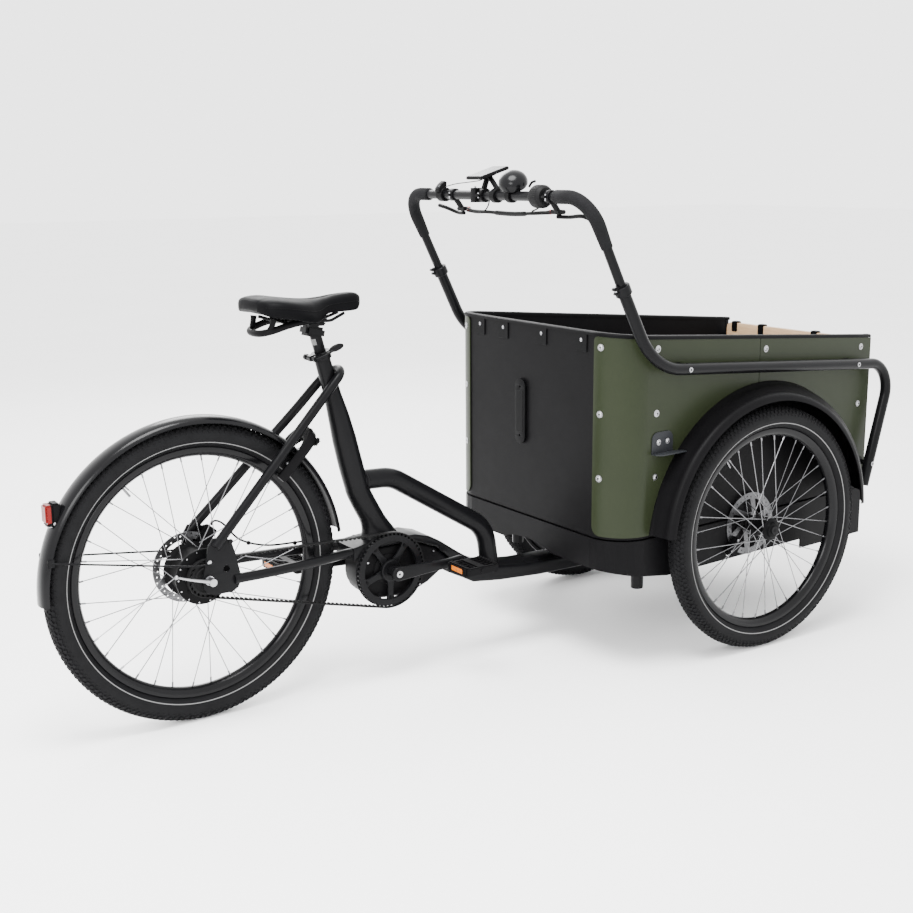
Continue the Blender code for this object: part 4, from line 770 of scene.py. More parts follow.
spine_line = [(0.3665, 0.3365), (0.398, 0.3420), (0.430, 0.3450), (0.480, 0.3462), (0.535, 0.3440),
              (0.575, 0.3335), (0.603, 0.318), (0.649, 0.286), (0.697, 0.255), (0.745, 0.234), (0.780, 0.225),
              (0.860, 0.217), (1.190, 0.212), (1.190, 0.1805), (0.900, 0.1815), (0.780, 0.188), (0.700, 0.197),
              (0.662, 0.217), (0.6300, 0.233), (0.6300, 0.2725), (0.5915, 0.3045), (0.5275, 0.3290),
              (0.436, 0.3282), (0.396, 0.3130), (0.3665, 0.3055)]
add_plate(tubes, [spine_line], 0.090, (0, 0, 0), None, 0.0060)
add_rod(tubes, (1.200, 0, 0.172), (1.200, 0, 0.2458), 0.0338, 48, bevel=0.0020)
add_lathe(tubes, [(0.0330, 0.0), (0.0338, 0.0), (0.0338, 0.004), (0.0330, 0.004)], 48, (1.2, 0, 0.240), "Z")
for x, z in ((0.415, 0.3345), (0.560, 0.3275), (0.607, 0.300)):
    for side in (-1, 1):
        add_rod(tubes, (x, side * 0.0440, z), (x, side * 0.0452, z), 0.0085, 24, bevel=0.0005)
make(tubes, "main_frame", FRAME_PAINT, REAR, ["rear_frame"], 40)

stays = bag()
drop = [(-0.014, 0.318), (-0.004, 0.304), (0.010, 0.299), (0.052, 0.299), (0.066, 0.307), (0.072, 0.320),
        (0.072, 0.340), (0.066, 0.366), (0.062, 0.385), (0.056, 0.405), (0.050, 0.416), (0.030, 0.423),
        (0.012, 0.424), (0.000, 0.405), (-0.006, 0.372), (-0.013, 0.345)]
for side in (-1, 1):
    add_plate(stays, [drop, circle(0, AXLE_Z, 0.0064, 20), circle(0.040, 0.353, 0.0075, 20)], 0.0060,
              (0, side * 0.0695, 0), None, 0.0009)
    path = [(0.058, side * 0.0695, 0.326), (0.150, side * 0.067, 0.326), (0.250, side * 0.057, 0.326),
            (0.3635, side * 0.0335, 0.326)]
    add_tube(stays, smooth_path(path, 8), 0.0109, 28)
    add_rod(stays, (0.052, side * 0.0695, 0.412), (0.052, side * 0.0740, 0.412), 0.0052, 18, bevel=0.0006)
half = [(0.0149, -0.0745, 0.405), (0.0601, -0.0682, 0.450), (0.165, -0.0536, 0.5545), (0.2711, -0.0387, 0.660),
        (0.322, -0.0332, 0.712), (0.350, -0.0258, 0.7385), (0.3618, 0.0, 0.748)]
whole = half + [(x, -y, z) for x, y, z in reversed(half[:-1])]
add_tube(stays, smooth_path(whole, 10), 0.0104, 28)
bridge = [(0.298, 0.3370), (0.3635, 0.3370), (0.3635, 0.3185)]
add_plate(stays, [bridge], 0.0050, (0, -0.0400, 0), None, 0.0008)
make(stays, "rear_stays", FRAME_PAINT, REAR, ["rear_triangle"], 40)
arm = bag()
path = smooth_path([(0.0, -0.0880, AXLE_Z + 0.0005), (-0.020, -0.0880, AXLE_Z + 0.0060), (-0.046, -0.0868, AXLE_Z + 0.0130),
                    (-0.078, -0.0855, AXLE_Z + 0.0235)], 8)
add_tube(arm, path, 0.0064, 20, [1.15 - 0.70 * (k / (len(path) - 1)) ** 0.8 for k in range(len(path))], 0.7)
add_ball(arm, path[-1], 0.0044, (1, 1, 1))
add_rod(arm, (0.0, -0.0800, AXLE_Z), (0.0, -0.0950, AXLE_Z), 0.0085, 24, bevel=0.0012)
add_rod(arm, (0.001, -0.0722, 0.3730), (0.001, -0.0765, 0.3730), 0.0050, 18, bevel=0.0010)
make(arm, "hub_shift_arm", STEEL, REAR)

axle = bag()
add_rod(axle, (0, -0.0860, AXLE_Z), (0, 0.0860, AXLE_Z), 0.0058, 24, bevel=0.0008)
for side in (-1, 1):
    add_rod(axle, (0, side * 0.0727, AXLE_Z), (0, side * 0.0745, AXLE_Z), 0.0104, 30, bevel=0.0004)
    add_rod(axle, (0, side * 0.0745, AXLE_Z), (0, side * 0.0815, AXLE_Z), 0.0094, 6, bevel=0.0006)
    add_ball(axle, (0, side * 0.0815, AXLE_Z), 0.0076, (1, 0.55, 1))
make(axle, "axle_and_nuts", STEEL, REAR, ["rear_axle"])

motor = bag()
outline = [(0.3930, 0.3030), (0.3970, 0.3112), (0.4365, 0.3265), (0.5270, 0.3272), (0.5905, 0.3030),
           (0.6285, 0.2712), (0.6285, 0.2560), (0.600, 0.2372), (0.572, 0.2192), (0.545, 0.2087),
           (0.500, 0.2002), (0.465, 0.1998), (0.432, 0.2032), (0.412, 0.2130), (0.400, 0.2250), (0.391, 0.2420),
           (0.387, 0.262), (0.388, 0.285)]
add_plate(motor, [outline], 0.0830, (0, 0.003, 0), None, 0.0085)
add_lathe(motor, [(0.0128, 0.0), (0.0340, 0.0), (0.0360, 0.0016), (0.0360, 0.0046), (0.0128, 0.0046)], 60,
          (CRANK.x, -0.0424, CRANK.z))
add_lathe(motor, [(0.0002, 0.0), (0.0440, 0.0), (0.0440, 0.0120), (0.0405, 0.0155), (0.0002, 0.0160)], 60,
          (0.548, 0.040, 0.260))
for ring in range(5):
    add_lathe(motor, [(0.0100 + ring * 0.0060, 0.0), (0.0128 + ring * 0.0060, 0.0), (0.0128 + ring * 0.0060, 0.0012),
                      (0.0100 + ring * 0.0060, 0.0012)], 48, (0.548, 0.0550, 0.260))
for fin in range(7):
    add_block(motor, (0.0040, 0.0600, 0.0050), (0.445 + fin * 0.013, 0.003, 0.2008 + 0.0004 * fin), 0.0010, None, 1)
for x, z in ((0.405, 0.2950), (0.435, 0.3170), (0.520, 0.3170), (0.585, 0.2950), (0.612, 0.2600), (0.545, 0.2190),
             (0.435, 0.2140), (0.397, 0.2500)):
    for side in (-0.0392, 0.0446):
        add_rod(motor, (x, side, z), (x, side + math.copysign(0.0010, side), z), 0.0048, 18, bevel=0.0004)
make(motor, "motor_casing", BLACK_PLASTIC, REAR, ["motor_unit"], 40)
motor_screws = bag()
for x, z in ((0.405, 0.2950), (0.435, 0.3170), (0.520, 0.3170), (0.585, 0.2950), (0.612, 0.2600), (0.545, 0.2190)):
    for side in (-0.0400, 0.0454):
        add_rod(motor_screws, (x, side, z), (x, side + math.copysign(0.0012, side), z), 0.0026, 6)
make(motor_screws, "motor_screws", STEEL, REAR)

guard = bag()
HUB = Vector((0.0049, 0, 0.3326))
section = [(0.3335, 0.0315), (0.3390, 0.0290), (0.3436, 0.0235), (0.3468, 0.0140), (0.3480, 0.0), ]
section = section + [(r, -y) for r, y in reversed(section[:-1])]
inner = [(r - 0.0016, y * 0.95) for r, y in reversed(section)]
rings = []
for step in range(97):
    angle = math.radians(8 + 174 * step / 96)
    rings.append([guard.verts.new(HUB + Vector((r * math.cos(angle), y, r * math.sin(angle))))
                  for r, y in section + inner])
for one, two in zip(rings, rings[1:]):
    for k in range(len(one)):
        after = (k + 1) % len(one)
        guard.faces.new((one[k], one[after], two[after], two[k]))
guard.faces.new(rings[0])
guard.faces.new(rings[-1][::-1])
make(guard, "mudguard_blade", GLOSS, REAR, ["rear_mudguard"], 50)
wires = bag()
for side in (-1, 1):
    angle = math.radians(165.8)
    rim_end = HUB + Vector((0.335 * math.cos(angle), side * 0.0305, 0.335 * math.sin(angle)))
    add_tube(wires, [rim_end, (-0.030, side * 0.0752, 0.3698), (0.0075, side * 0.0752, 0.3698)], 0.0021, 12)
    add_block(wires, (0.0140, 0.0030, 0.0180), rim_end, 0.0012)
    add_rod(wires, (0.0075, side * 0.0740, 0.3698), (0.0075, side * 0.0768, 0.3698), 0.0050, 16, bevel=0.0006)
make(wires, "mudguard_wires", FRAME_PAINT, REAR)

low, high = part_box("tail_lamp")
low -= OFFSET
high -= OFFSET
middle = (low + high) / 2
lamp = bag()
add_block(lamp, (0.0150, 0.0320, 0.0400), middle + Vector((-0.0075, 0, 0.0010)), 0.0035, None, 4)
make(lamp, "tail_lamp_lens", RED_LENS, REAR, ["tail_lamp"])
back = bag()
add_block(back, (0.0180, 0.0330, 0.0470), middle + Vector((0.0070, 0, 0)), 0.0030)
add_block(back, (0.0260, 0.0300, 0.0060), middle + Vector((0.0010, 0, -0.0210)), 0.0020)
make(back, "tail_lamp_base", BLACK_PLASTIC, REAR)
trim = bag()
add_block(trim, (0.0200, 0.0240, 0.0026), middle + Vector((-0.0010, 0, -0.0248)), 0.0008)
add_rod(trim, middle + Vector((0.002, -0.0170, -0.0180)), middle + Vector((0.002, 0.0170, -0.0180)), 0.0028, 14)
make(trim, "tail_lamp_bracket", STEEL, REAR)

# ring lock
LOCK = Vector(JOINTS["lock_lever_turn"]["pos_m"]) - OFFSET
LOCK_ALONG = Vector(JOINTS["lock_lever_turn"]["axis"]).normalized()
LOCK_OUT = Vector((LOCK_ALONG.x, 0, -LOCK_ALONG.z))
lock_place = Matrix.Translation(LOCK) @ Matrix((-Y_AXIS, LOCK_ALONG, LOCK_OUT)).transposed().to_4x4()
lock = bag()
local = bag()
outer = circle(0, 0.024, 0.0460, 36, 0.0, math.pi) + [(-0.0460, -0.058), (-0.0440, -0.066), (-0.0368, -0.067)]
inner = circle(0, 0.010, 0.0368, 36, math.pi, -math.pi)
add_plate(local, [outer + inner + [(0.0368, -0.067), (0.0440, -0.066), (0.0460, -0.058)]], 0.0235, (0, 0, 0),
          Matrix.Rotation(math.pi / 2, 4, "X"), 0.0030)
add_block(local, (0.0500, 0.0120, 0.0240), (0.0, -0.0060, 0.0560), 0.0030)
add_rod(local, (-0.0200, 0.0060, 0.0500), (-0.0200, 0.0132, 0.0500), 0.0090, 28, bevel=0.0010)
add_lathe(local, [(0.0330, 0.0), (0.0410, 0.0), (0.0410, 0.0010), (0.0330, 0.0010)], 60, (0, 0.0117, 0.0120))
add_bm(lock, local, lock_place)
make(lock, "ring_lock_body", BLACK_PLASTIC, REAR, ["frame_lock"])
key = bag()
local = bag()
add_rod(local, (-0.0200, 0.0126, 0.0500), (-0.0200, 0.0138, 0.0500), 0.0060, 24, bevel=0.0005)
for side in (-1, 1):
    add_rod(local, (side * 0.0415, -0.0125, -0.030), (side * 0.0415, -0.0140, -0.030), 0.0036, 16, bevel=0.0005)
    add_rod(local, (side * 0.0415, -0.0125, 0.010), (side * 0.0415, -0.0140, 0.010), 0.0036, 16, bevel=0.0005)
add_bm(key, local, lock_place)
make(key, "ring_lock_barrel", STEEL, REAR)
lever = bag()
local = bag()
add_block(local, (0.0150, 0.0110, 0.0210), (0.026, 0.0185, 0.052), 0.0034, None, 3)
for rib in range(4):
    add_block(local, (0.0130, 0.0018, 0.0018), (0.026, 0.0236, 0.046 + rib * 0.004), 0.0005, None, 1)
add_bm(lever, local, lock_place)
make(lever, "ring_lock_lever", DARK_PLASTIC, "lock_lever_body", ["lock_lever"])

# seat clamp, post, saddle clamp
seat_place = Matrix.Translation(SEAT_TOP + SEAT_AXIS * 0.0036) @ Matrix((SEAT_AHEAD, Y_AXIS, SEAT_AXIS)).transposed().to_4x4()
collar = bag()
local = bag()
add_lathe(local, [(0.0189, -0.0178), (0.0216, -0.0178), (0.0222, -0.0168), (0.0222, -0.0012), (0.0212, 0.0),
                  (0.0140, 0.0), (0.0140, -0.0030), (0.0189, -0.0030)], 48, (0, 0, 0), "Z")
add_block(local, (0.0140, 0.0210, 0.0125), (-0.0262, 0, -0.006), 0.0024)
add_rod(local, (-0.0280, 0.0240, -0.005), (-0.0280, -0.0215, -0.005), 0.0030, 16)
add_rod(local, (-0.0280, 0.0108, -0.005), (-0.0280, 0.0222, -0.005), 0.0070, 20, bevel=0.0012)
add_bm(collar, local, seat_place)
make(collar, "seat_clamp_ring", FRAME_PAINT, REAR, ["seat_collar"])
quick = bag()
local = bag()
path = smooth_path([(-0.0280, -0.0290, -0.005), (-0.006, -0.0340, -0.003), (0.016, -0.0350, 0.001),
                    (0.034, -0.0330, 0.004)], 8)
add_tube(local, path, 0.0060, 20, [1.15 - 0.40 * math.sin(math.pi * 0.8 * k / (len(path) - 1))
                                   for k in range(len(path))], 0.65)
add_ball(local, (0.0250, -0.0345, 0.0035), 0.0190, (1, 0.30, 0.42))
add_rod(local, (-0.0280, -0.0245, -0.005), (-0.0280, -0.0320, -0.005), 0.0066, 20, bevel=0.0010)
add_bm(quick, local, seat_place)
make(quick, "quick_release_lever", FRAME_PAINT, "seat_lever_body", ["seat_lever"])

post = bag()
post_top = SEAT_TOP + SEAT_AXIS * 0.060
add_rod(post, SEAT_TOP - SEAT_AXIS * 0.165, post_top, 0.0132, 40)
make(post, "seat_post_tube", FRAME_PAINT, SADDLE, ["seat_post"])
band = bag()
corners = []
for step in range(13):
    turn = math.radians(140 + 95 * step / 12)
    out = SEAT_AHEAD * math.cos(turn) + Y_AXIS * math.sin(turn)
    corners.append([band.verts.new(SEAT_TOP + SEAT_AXIS * up + out * reach)
                    for up, reach in ((0.0230, 0.0130), (0.0230, 0.01345), (0.0370, 0.01345), (0.0370, 0.0130))])
for one, two in zip(corners, corners[1:]):
    for k in range(4):
        band.faces.new((one[k], one[(k + 1) % 4], two[(k + 1) % 4], two[k]))
band.faces.new(corners[0][::-1])
band.faces.new(corners[-1])
bmesh.ops.recalc_face_normals(band, faces=band.faces)
make(band, "seat_post_mark", STRIPE, SADDLE)

rails = bag()
for side in (-1, 1):
    path = rounded_path([(0.188, side * 0.040, 0.8755), (0.228, side * 0.022, 0.862), (0.335, side * 0.022, 0.862),
                         (0.372, side * 0.014, 0.8755)], [0.03, 0.03], 8)
    add_tube(rails, path, 0.0035, 14)
make(rails, "saddle_rails", FRAME_PAINT, SADDLE, ["saddle_clamp"])
yoke = bag()
add_block(yoke, (0.0460, 0.0500, 0.0090), (0.302, 0, post_top.z + 0.0196), 0.0030)
add_block(yoke, (0.0420, 0.0440, 0.0090), (0.302, 0, post_top.z + 0.0092), 0.0030)
for ahead in (-1, 1):
    add_rod(yoke, (0.302 + ahead * 0.0165, 0, post_top.z + 0.0048), (0.302 + ahead * 0.0165, 0, post_top.z + 0.0236),
            0.0042, 6)
add_block(yoke, (0.0480, 0.0400, 0.0250), (0.2990, 0, post_top.z - 0.0080), 0.0060,
          Matrix.Rotation(math.radians(14), 4, "Y"))
make(yoke, "saddle_yoke", FRAME_PAINT, SADDLE)

grab = bag()
loop = [(0.262, -0.047, 0.868), (0.218, -0.052, 0.862), (0.178, -0.046, 0.851), (0.160, -0.022, 0.845)]
loop += [(x, -y, z) for x, y, z in reversed(loop)]
add_tube(grab, smooth_path(loop, 8), 0.0074, 20)
add_rod(grab, (0.252, -0.048, 0.8640), (0.252, 0.048, 0.8640), 0.0058, 18)
for side in (-1, 1):
    add_tube(grab, [(0.174, side * 0.042, 0.8490), (0.178, side * 0.0470, 0.8600), (0.181, side * 0.0495, 0.8700),
                    (0.182, side * 0.0500, 0.8770)], 0.0063, 18, [1.1, 1.0, 1.0, 1.15])
add_block(grab, (0.0130, 0.0160, 0.0170), (0.252, 0, 0.8635), 0.0020)
make(grab, "saddle_grab_loop", BLACK_PLASTIC, SADDLE, ["grab_loop"], 50)


# ---------------------------------------------------------------- saddle
def closed_smooth(points, steps):
    """A closed Catmull-Rom loop through the points."""
    count = len(points)
    out = []
    for index in range(count):
        p0, p1, p2, p3 = (points[(index + k) % count] for k in (-1, 0, 1, 2))
        for step in range(steps):
            t = step / steps
            out.append(0.5 * (2 * p1 + (p2 - p0) * t + (2 * p0 - 5 * p1 + 4 * p2 - p3) * t**2
                              + (3 * p1 - p0 - 3 * p2 + p3) * t**3))
    return out


sections = [(0.147, 0.048, 0.9150, 0.8940), (0.158, 0.077, 0.9210, 0.8860), (0.185, 0.0925, 0.9235, 0.8805),
            (0.220, 0.0925, 0.9188, 0.8755), (0.258, 0.0770, 0.9140, 0.8675), (0.292, 0.0540, 0.9120, 0.8640),
            (0.322, 0.0370, 0.9140, 0.8780), (0.350, 0.0300, 0.9180, 0.8800), (0.385, 0.0262, 0.9205, 0.8805), (0.404, 0.0215, 0.9195, 0.8830),
            (0.4145, 0.0125, 0.9140, 0.8925)]
crown = [(-0.97, 0.34), (-0.88, 0.76), (-0.52, 0.955), (0, 0.985), (0.52, 0.955), (0.88, 0.76), (0.97, 0.34)]
rows = []
for x, half, top, low in sections:
    roof = max(low + 0.0020, 0.8800)
    ring_points = [Vector((x, half * a, low + (top - low) * b)) for a, b in crown]
    ring_points += [Vector((x, half * a, z)) for a, z in ((0.93, low + 0.0012), (0.86, low + 0.0012), (0.76, roof),
                                                          (-0.76, roof), (-0.86, low + 0.0012), (-0.93, low + 0.0012))]
    rows.append(closed_smooth(ring_points, 5))
columns = [smooth_path([row[k] for row in rows], 5) for k in range(len(rows[0]))]
pad = bag()
grid = [[pad.verts.new(column[step]) for column in columns] for step in range(len(columns[0]))]
for one, two in zip(grid, grid[1:]):
    for k in range(len(one)):
        after = (k + 1) % len(one)
        pad.faces.new((one[k], one[after], two[after], two[k]))
pad.faces.new(grid[0])
pad.faces.new(grid[-1][::-1])
for vert in pad.verts:
    if vert.co.z > 0.895:
        along = (vert.co.x - 0.147) / 0.267
        dip = math.exp(-(vert.co.y / 0.0075)**2) * 0.0035 * max(0.0, math.sin(math.pi * min(1.0, along * 1.05)))
        crease = 0.0009 * math.exp(-((abs(vert.co.y) - 0.045) / 0.003)**2) if vert.co.x < 0.255 else 0.0
        vert.co.z -= dip + crease
saddle_pad = make(pad, "saddle_cover", VINYL, SADDLE, ["saddle"], 60)
seams = bag()
for index in (2, 28):
    line = [column for column in columns[index]][4:-4]
    add_tube(seams, [point + Vector((0, 0, 0.0001)) for point in line], 0.0008, 8)
make(seams, "saddle_seams", DARK_PLASTIC, SADDLE)


# ---------------------------------------------------------------- brakes on the wheels
caliper = bag()
turn = Matrix.Rotation(math.radians(-50), 4, "Y")
for side_y, wide in ((0.0470, 0.0048), (0.0567, 0.0058)):
    add_block(caliper, (0.0450, wide, 0.0290), (0.048, side_y, 0.3975), 0.0022, turn)
add_block(caliper, (0.0450, 0.0150, 0.0100), Vector((0.048, 0.0520, 0.3975)) + turn @ Vector((0, 0, 0.0095)), 0.0025, turn)
add_rod(caliper, Vector((0.048, 0.0520, 0.3975)) + turn @ Vector((0, 0, -0.002)),
        Vector((0.048, 0.0595, 0.3975)) + turn @ Vector((0, 0, -0.002)), 0.0115, 30, bevel=0.0012)
make(caliper, "rear_brake_caliper", BLACK_PLASTIC, REAR, ["rear_caliper"])
hose = bag()
route = [(0.0620, 0.0560, 0.4185), (0.0710, 0.0560, 0.4265), (0.0920, 0.0580, 0.4160), (0.1300, 0.0560, 0.3740),
         (0.1900, 0.0520, 0.3520), (0.2600, 0.0470, 0.3480), (0.3300, 0.0400, 0.3480), (0.3530, 0.0400, 0.3440)]
add_tube(hose, smooth_path(route, 8), 0.0023, 14)
make(hose, "rear_hose", BELT, REAR, ["rear_brake_hose"])
clips = bag()
for x, y, z in ((0.150, 0.0548, 0.3640), (0.262, 0.0468, 0.3478), (0.335, 0.0398, 0.3476)):
    add_block(clips, (0.0080, 0.0075, 0.0090), (x, y, z - 0.0010), 0.0016)
make(clips, "hose_clips", DARK_PLASTIC, REAR)
screws = bag()
for x, z in ((0.0365, 0.3860), (0.0595, 0.4105)):
    add_rod(screws, (x, 0.0592, z), (x, 0.0612, z), 0.0038, 18, bevel=0.0006)
make(screws, "rear_caliper_bolts", STEEL, REAR)

for side, label in ((-1, "right"), (1, "left")):
    caliper = bag()
    spot = Vector((FRONT_AXLE.x - 0.060, side * 0.3190, FRONT_AXLE.z - 0.050))
    turn = Matrix.Rotation(math.radians(40), 4, "Y")
    for off, wide in ((-0.0093, 0.0140), (0.0098, 0.0138)):
        add_block(caliper, (0.0290, wide, 0.0470), spot + Vector((0, side * off, 0)), 0.0030, turn)
    add_block(caliper, (0.0090, 0.0320, 0.0460), spot + turn @ Vector((-0.0095, 0, 0)), 0.0030, turn)
    add_rod(caliper, spot + Vector((0, side * 0.0130, 0)), spot + Vector((0, side * 0.0168, 0)), 0.0120, 30, bevel=0.0010)
    add_block(caliper, (0.0560, 0.0098, 0.0300), (spot.x + 0.026, side * 0.2990, spot.z + 0.024), 0.0020)
    make(caliper, f"front_brake_caliper_{label}", BLACK_PLASTIC, BOX, [f"front_caliper_{label}"])
    screws = bag()
    for step in (-0.0170, 0.0170):
        end = spot + turn @ Vector((-0.006, 0, step))
        add_rod(screws, end + Vector((0, side * 0.0160, 0)), end + Vector((0, side * 0.0176, 0)), 0.0032, 16, bevel=0.0005)
    make(screws, f"front_caliper_bolts_{label}", STEEL, BOX)


# ---------------------------------------------------------------- box
BOX_REAR = 0.8918
BOX_FRONT = 1.835
HALF_REAR = 0.3423
CORNER = 0.0918
TAPER_START = BOX_REAR + CORNER
TAPER = (HALF_REAR - 0.2717) / (BOX_FRONT - TAPER_START)
SLOPE = 0.0757
ARCH_X = 1.396
ARCH_Z = 0.290
ARCH_A = 0.400
ARCH_B = 0.375


def half_width(x):
    return HALF_REAR - TAPER * (x - TAPER_START)


def rim_at(x):
    return 0.8197 - SLOPE * (x - BOX_REAR)


def corner_point(angle, offset):
    reach = CORNER + offset
    return TAPER_START - reach * math.cos(angle), HALF_REAR - CORNER + reach * math.sin(angle)


def box_plan(offset, front_offset=None, notch=0.0, side_steps=12):
    """The outline from above, left side first, with points where the front notch starts."""
    front = BOX_FRONT + (offset if front_offset is None else front_offset)
    left = [corner_point(math.radians(a), offset) for a in range(0, 91, 5)]
    first = left[-1]
    side_front = half_width(front) + offset
    for step in range(1, side_steps):
        t = step / side_steps
        left.append((first[0] + (front - 0.006 - first[0]) * t, first[1] + (side_front - first[1]) * t))
    for degrees in (0, 30, 60, 90):
        angle = math.radians(degrees)
        left.append((front - 0.006 + 0.006 * math.sin(angle), side_front - 0.006 + 0.006 * math.cos(angle)))
    if notch:
        left += [(front, notch + 0.0002), (front, notch)]
    return left + [(x, -y) for x, y in reversed(left)]


def add_wall(bm, outer, inner, low, high, soft=0.0):
    """A closed wall between two outlines; low and high give its edges at a place."""
    loops = []
    for plan, mate, levels in ((outer, inner, "low"), (outer, inner, "high"), (inner, outer, "high"), (inner, outer, "low")):
        loop = []
        for (x, y), _ in zip(plan, mate):
            z = low(x, y) if levels == "low" else high(x, y)
            loop.append(bm.verts.new((x, y, z)))
        loops.append(loop)
    for one, two in zip(loops, loops[1:] + loops[:1]):
        for k in range(len(one)):
            after = (k + 1) % len(one)
            bm.faces.new((one[k], one[after], two[after], two[k]))
    return loops


SHELL = 0.0033
NOTCH = 0.258


def tub_top(x, y):
    if x > BOX_FRONT - 0.03 and abs(y) <= NOTCH + 0.0001:
        return 0.705
    return rim_at(x) - 0.008


tub = bag()
add_wall(tub, box_plan(-SHELL, None, NOTCH), box_plan(-SHELL - 0.010, None, NOTCH), lambda x, y: 0.3302, tub_top)
floor = box_plan(-SHELL - 0.009, None, NOTCH)
for z, flip in ((0.3380, False), (0.3304, True)):
    face = [tub.verts.new((x, y, z)) for x, y in floor]
    tub.faces.new(face[::-1] if flip else face)
for rib in range(9):
    add_block(tub, (0.660, 0.0060, 0.0016), (1.300, (rib - 4) * 0.0560, 0.3386), 0.0006, None, 1)
lip = bag()


def add_lip(bm):
    """The thicker rounded rim, left open across the front notch."""
    outer = box_plan(0.0014)
    inner = box_plan(-SHELL - 0.0118)
    pairs = list(zip(outer, inner))
    split = len(pairs) // 2
    order = pairs[split:] + pairs[:split]
    order = [pair for pair in order if not (pair[0][0] > BOX_FRONT - 0.004 and abs(pair[0][1]) < NOTCH)]
    rings = []
    ends = [((BOX_FRONT + 0.0014, -NOTCH), (BOX_FRONT - SHELL - 0.0118, -NOTCH))]
    ends2 = [((BOX_FRONT + 0.0014, NOTCH), (BOX_FRONT - SHELL - 0.0118, NOTCH))]
    for (ox, oy), (ix, iy) in ends + order + ends2:
        top = rim_at(ox)
        low = top - 0.0090
        profile = ((0.0, low), (0.0, top - 0.0030), (0.12, top - 0.0008), (0.30, top), (0.70, top),
                   (0.88, top - 0.0008), (1.0, top - 0.0030), (1.0, low))
        rings.append([bm.verts.new((ox + (ix - ox) * t, oy + (iy - oy) * t, z)) for t, z in profile])
    for one, two in zip(rings, rings[1:]):
        for k in range(len(one)):
            after = (k + 1) % len(one)
            bm.faces.new((one[k], one[after], two[after], two[k]))
    bm.faces.new(rings[0])
    bm.faces.new(rings[-1][::-1])


add_lip(lip)
make(lip, "box_rim", BLACK_PLASTIC, BOX, (), 40)
make(tub, "box_tub", BLACK_PLASTIC, BOX, ["cargo_box"], 30)


def arch_z(x):
    inside = 1 - ((x - ARCH_X) / ARCH_A)**2
    return ARCH_Z + ARCH_B * math.sqrt(inside) if inside > 0 else 0.0


def add_panel(bm, columns, thick=0.0030):
    """Columns of (outer point, inner point, lower edge, upper edge)."""
    rings = []
    for (ox, oy), (ix, iy), low, high in columns:
        ring = [bm.verts.new((ox, oy, low)), bm.verts.new((ox, oy, high)),
                bm.verts.new((ix, iy, high)), bm.verts.new((ix, iy, low))]
        rings.append(ring)
    for one, two in zip(rings, rings[1:]):
        for k in range(4):
            after = (k + 1) % 4
            bm.faces.new((one[k], one[after], two[after], two[k]))
    bm.faces.new(rings[0])
    bm.faces.new(rings[-1][::-1])


SEAM = 1.3780
arch_xs = [ARCH_X - ARCH_A * math.cos(math.pi * k / 80) for k in range(81)]
for side, label in ((-1, "right"), (1, "left")):
    columns = []
    for degrees in [4.0, 4.4, 5.2, 6.5, 8.5, 11, 14, 18, 22] + list(range(26, 91, 4)):
        point = corner_point(math.radians(degrees), 0)
        inside = corner_point(math.radians(degrees), -0.0030)
        reach = CORNER * math.radians(degrees - 4)
        top_round = 0.012 - math.sqrt(max(0.0, 0.012**2 - max(0.0, 0.012 - reach)**2))
        low_round = 0.024 - math.sqrt(max(0.0, 0.024**2 - max(0.0, 0.024 - reach)**2))
        columns.append((point, inside, 0.3360 + low_round, rim_at(point[0]) - 0.0096 - top_round))
    for x in [TAPER_START + 0.004] + [x for x in arch_xs if x < SEAM - 0.001 and x > TAPER_START + 0.005] + [SEAM - 0.001]:
        y = half_width(x)
        columns.append(((x, y), (x, y - 0.0030), max(0.3360, arch_z(x)), rim_at(x) - 0.0096))
    panel = bag()
    add_panel(panel, [((a[0], side * a[1]), (b[0], side * b[1]), low, high) for a, b, low, high in columns])
    make(panel, f"green_panel_rear_{label}", GREEN, BOX, [f"side_panel_rear_{label}"], 30)
    columns = []
    for x in [SEAM + 0.001] + [x for x in arch_xs if SEAM + 0.001 < x < BOX_FRONT] + [1.806, BOX_FRONT - 0.0005]:
        y = half_width(x)
        columns.append(((x, y), (x, y - 0.0030), max(0.3360, arch_z(x)), rim_at(x) - 0.0096))
    panel = bag()
    add_panel(panel, [((a[0], side * a[1]), (b[0], side * b[1]), low, high) for a, b, low, high in columns])
    make(panel, f"green_panel_front_{label}", GREEN, BOX, [f"side_panel_front_{label}"], 30)


def outward_at(x, y):
    """Unit vector square to the box wall at a place on it."""
    if x < TAPER_START:
        centre_y = math.copysign(HALF_REAR - CORNER, y)
        if abs(y) < HALF_REAR - CORNER:
            return Vector((-1, 0, 0))
        return Vector((x - TAPER_START, y - centre_y, 0)).normalized()
    return Vector((TAPER, math.copysign(1, y), 0)).normalized()


def add_screw(heads, painted_socket_shade, spot, out, radius=0.0058):
    """A pan-head screw on a washer, with a dark hexagon painted on its top as the shade of a hexagonal recess."""
    add_rod(heads, spot - out * 0.0004, spot + out * 0.0007, radius * 1.45, 24)
    turn = out.to_track_quat("Z", "Y").to_matrix().to_4x4()
    add_lathe(heads, [(0.0001, 0.0), (radius, 0.0), (radius * 0.96, 0.0013), (radius * 0.74, 0.0025),
                      (radius * 0.42, 0.0030), (0.0001, 0.0030)], 24, spot, turn=turn)
    # painted shade: a dark hexagon standing just proud of the head, in place of the recess's shadow
    add_rod(painted_socket_shade, spot + out * 0.0026, spot + out * 0.00312, radius * 0.40, 6)


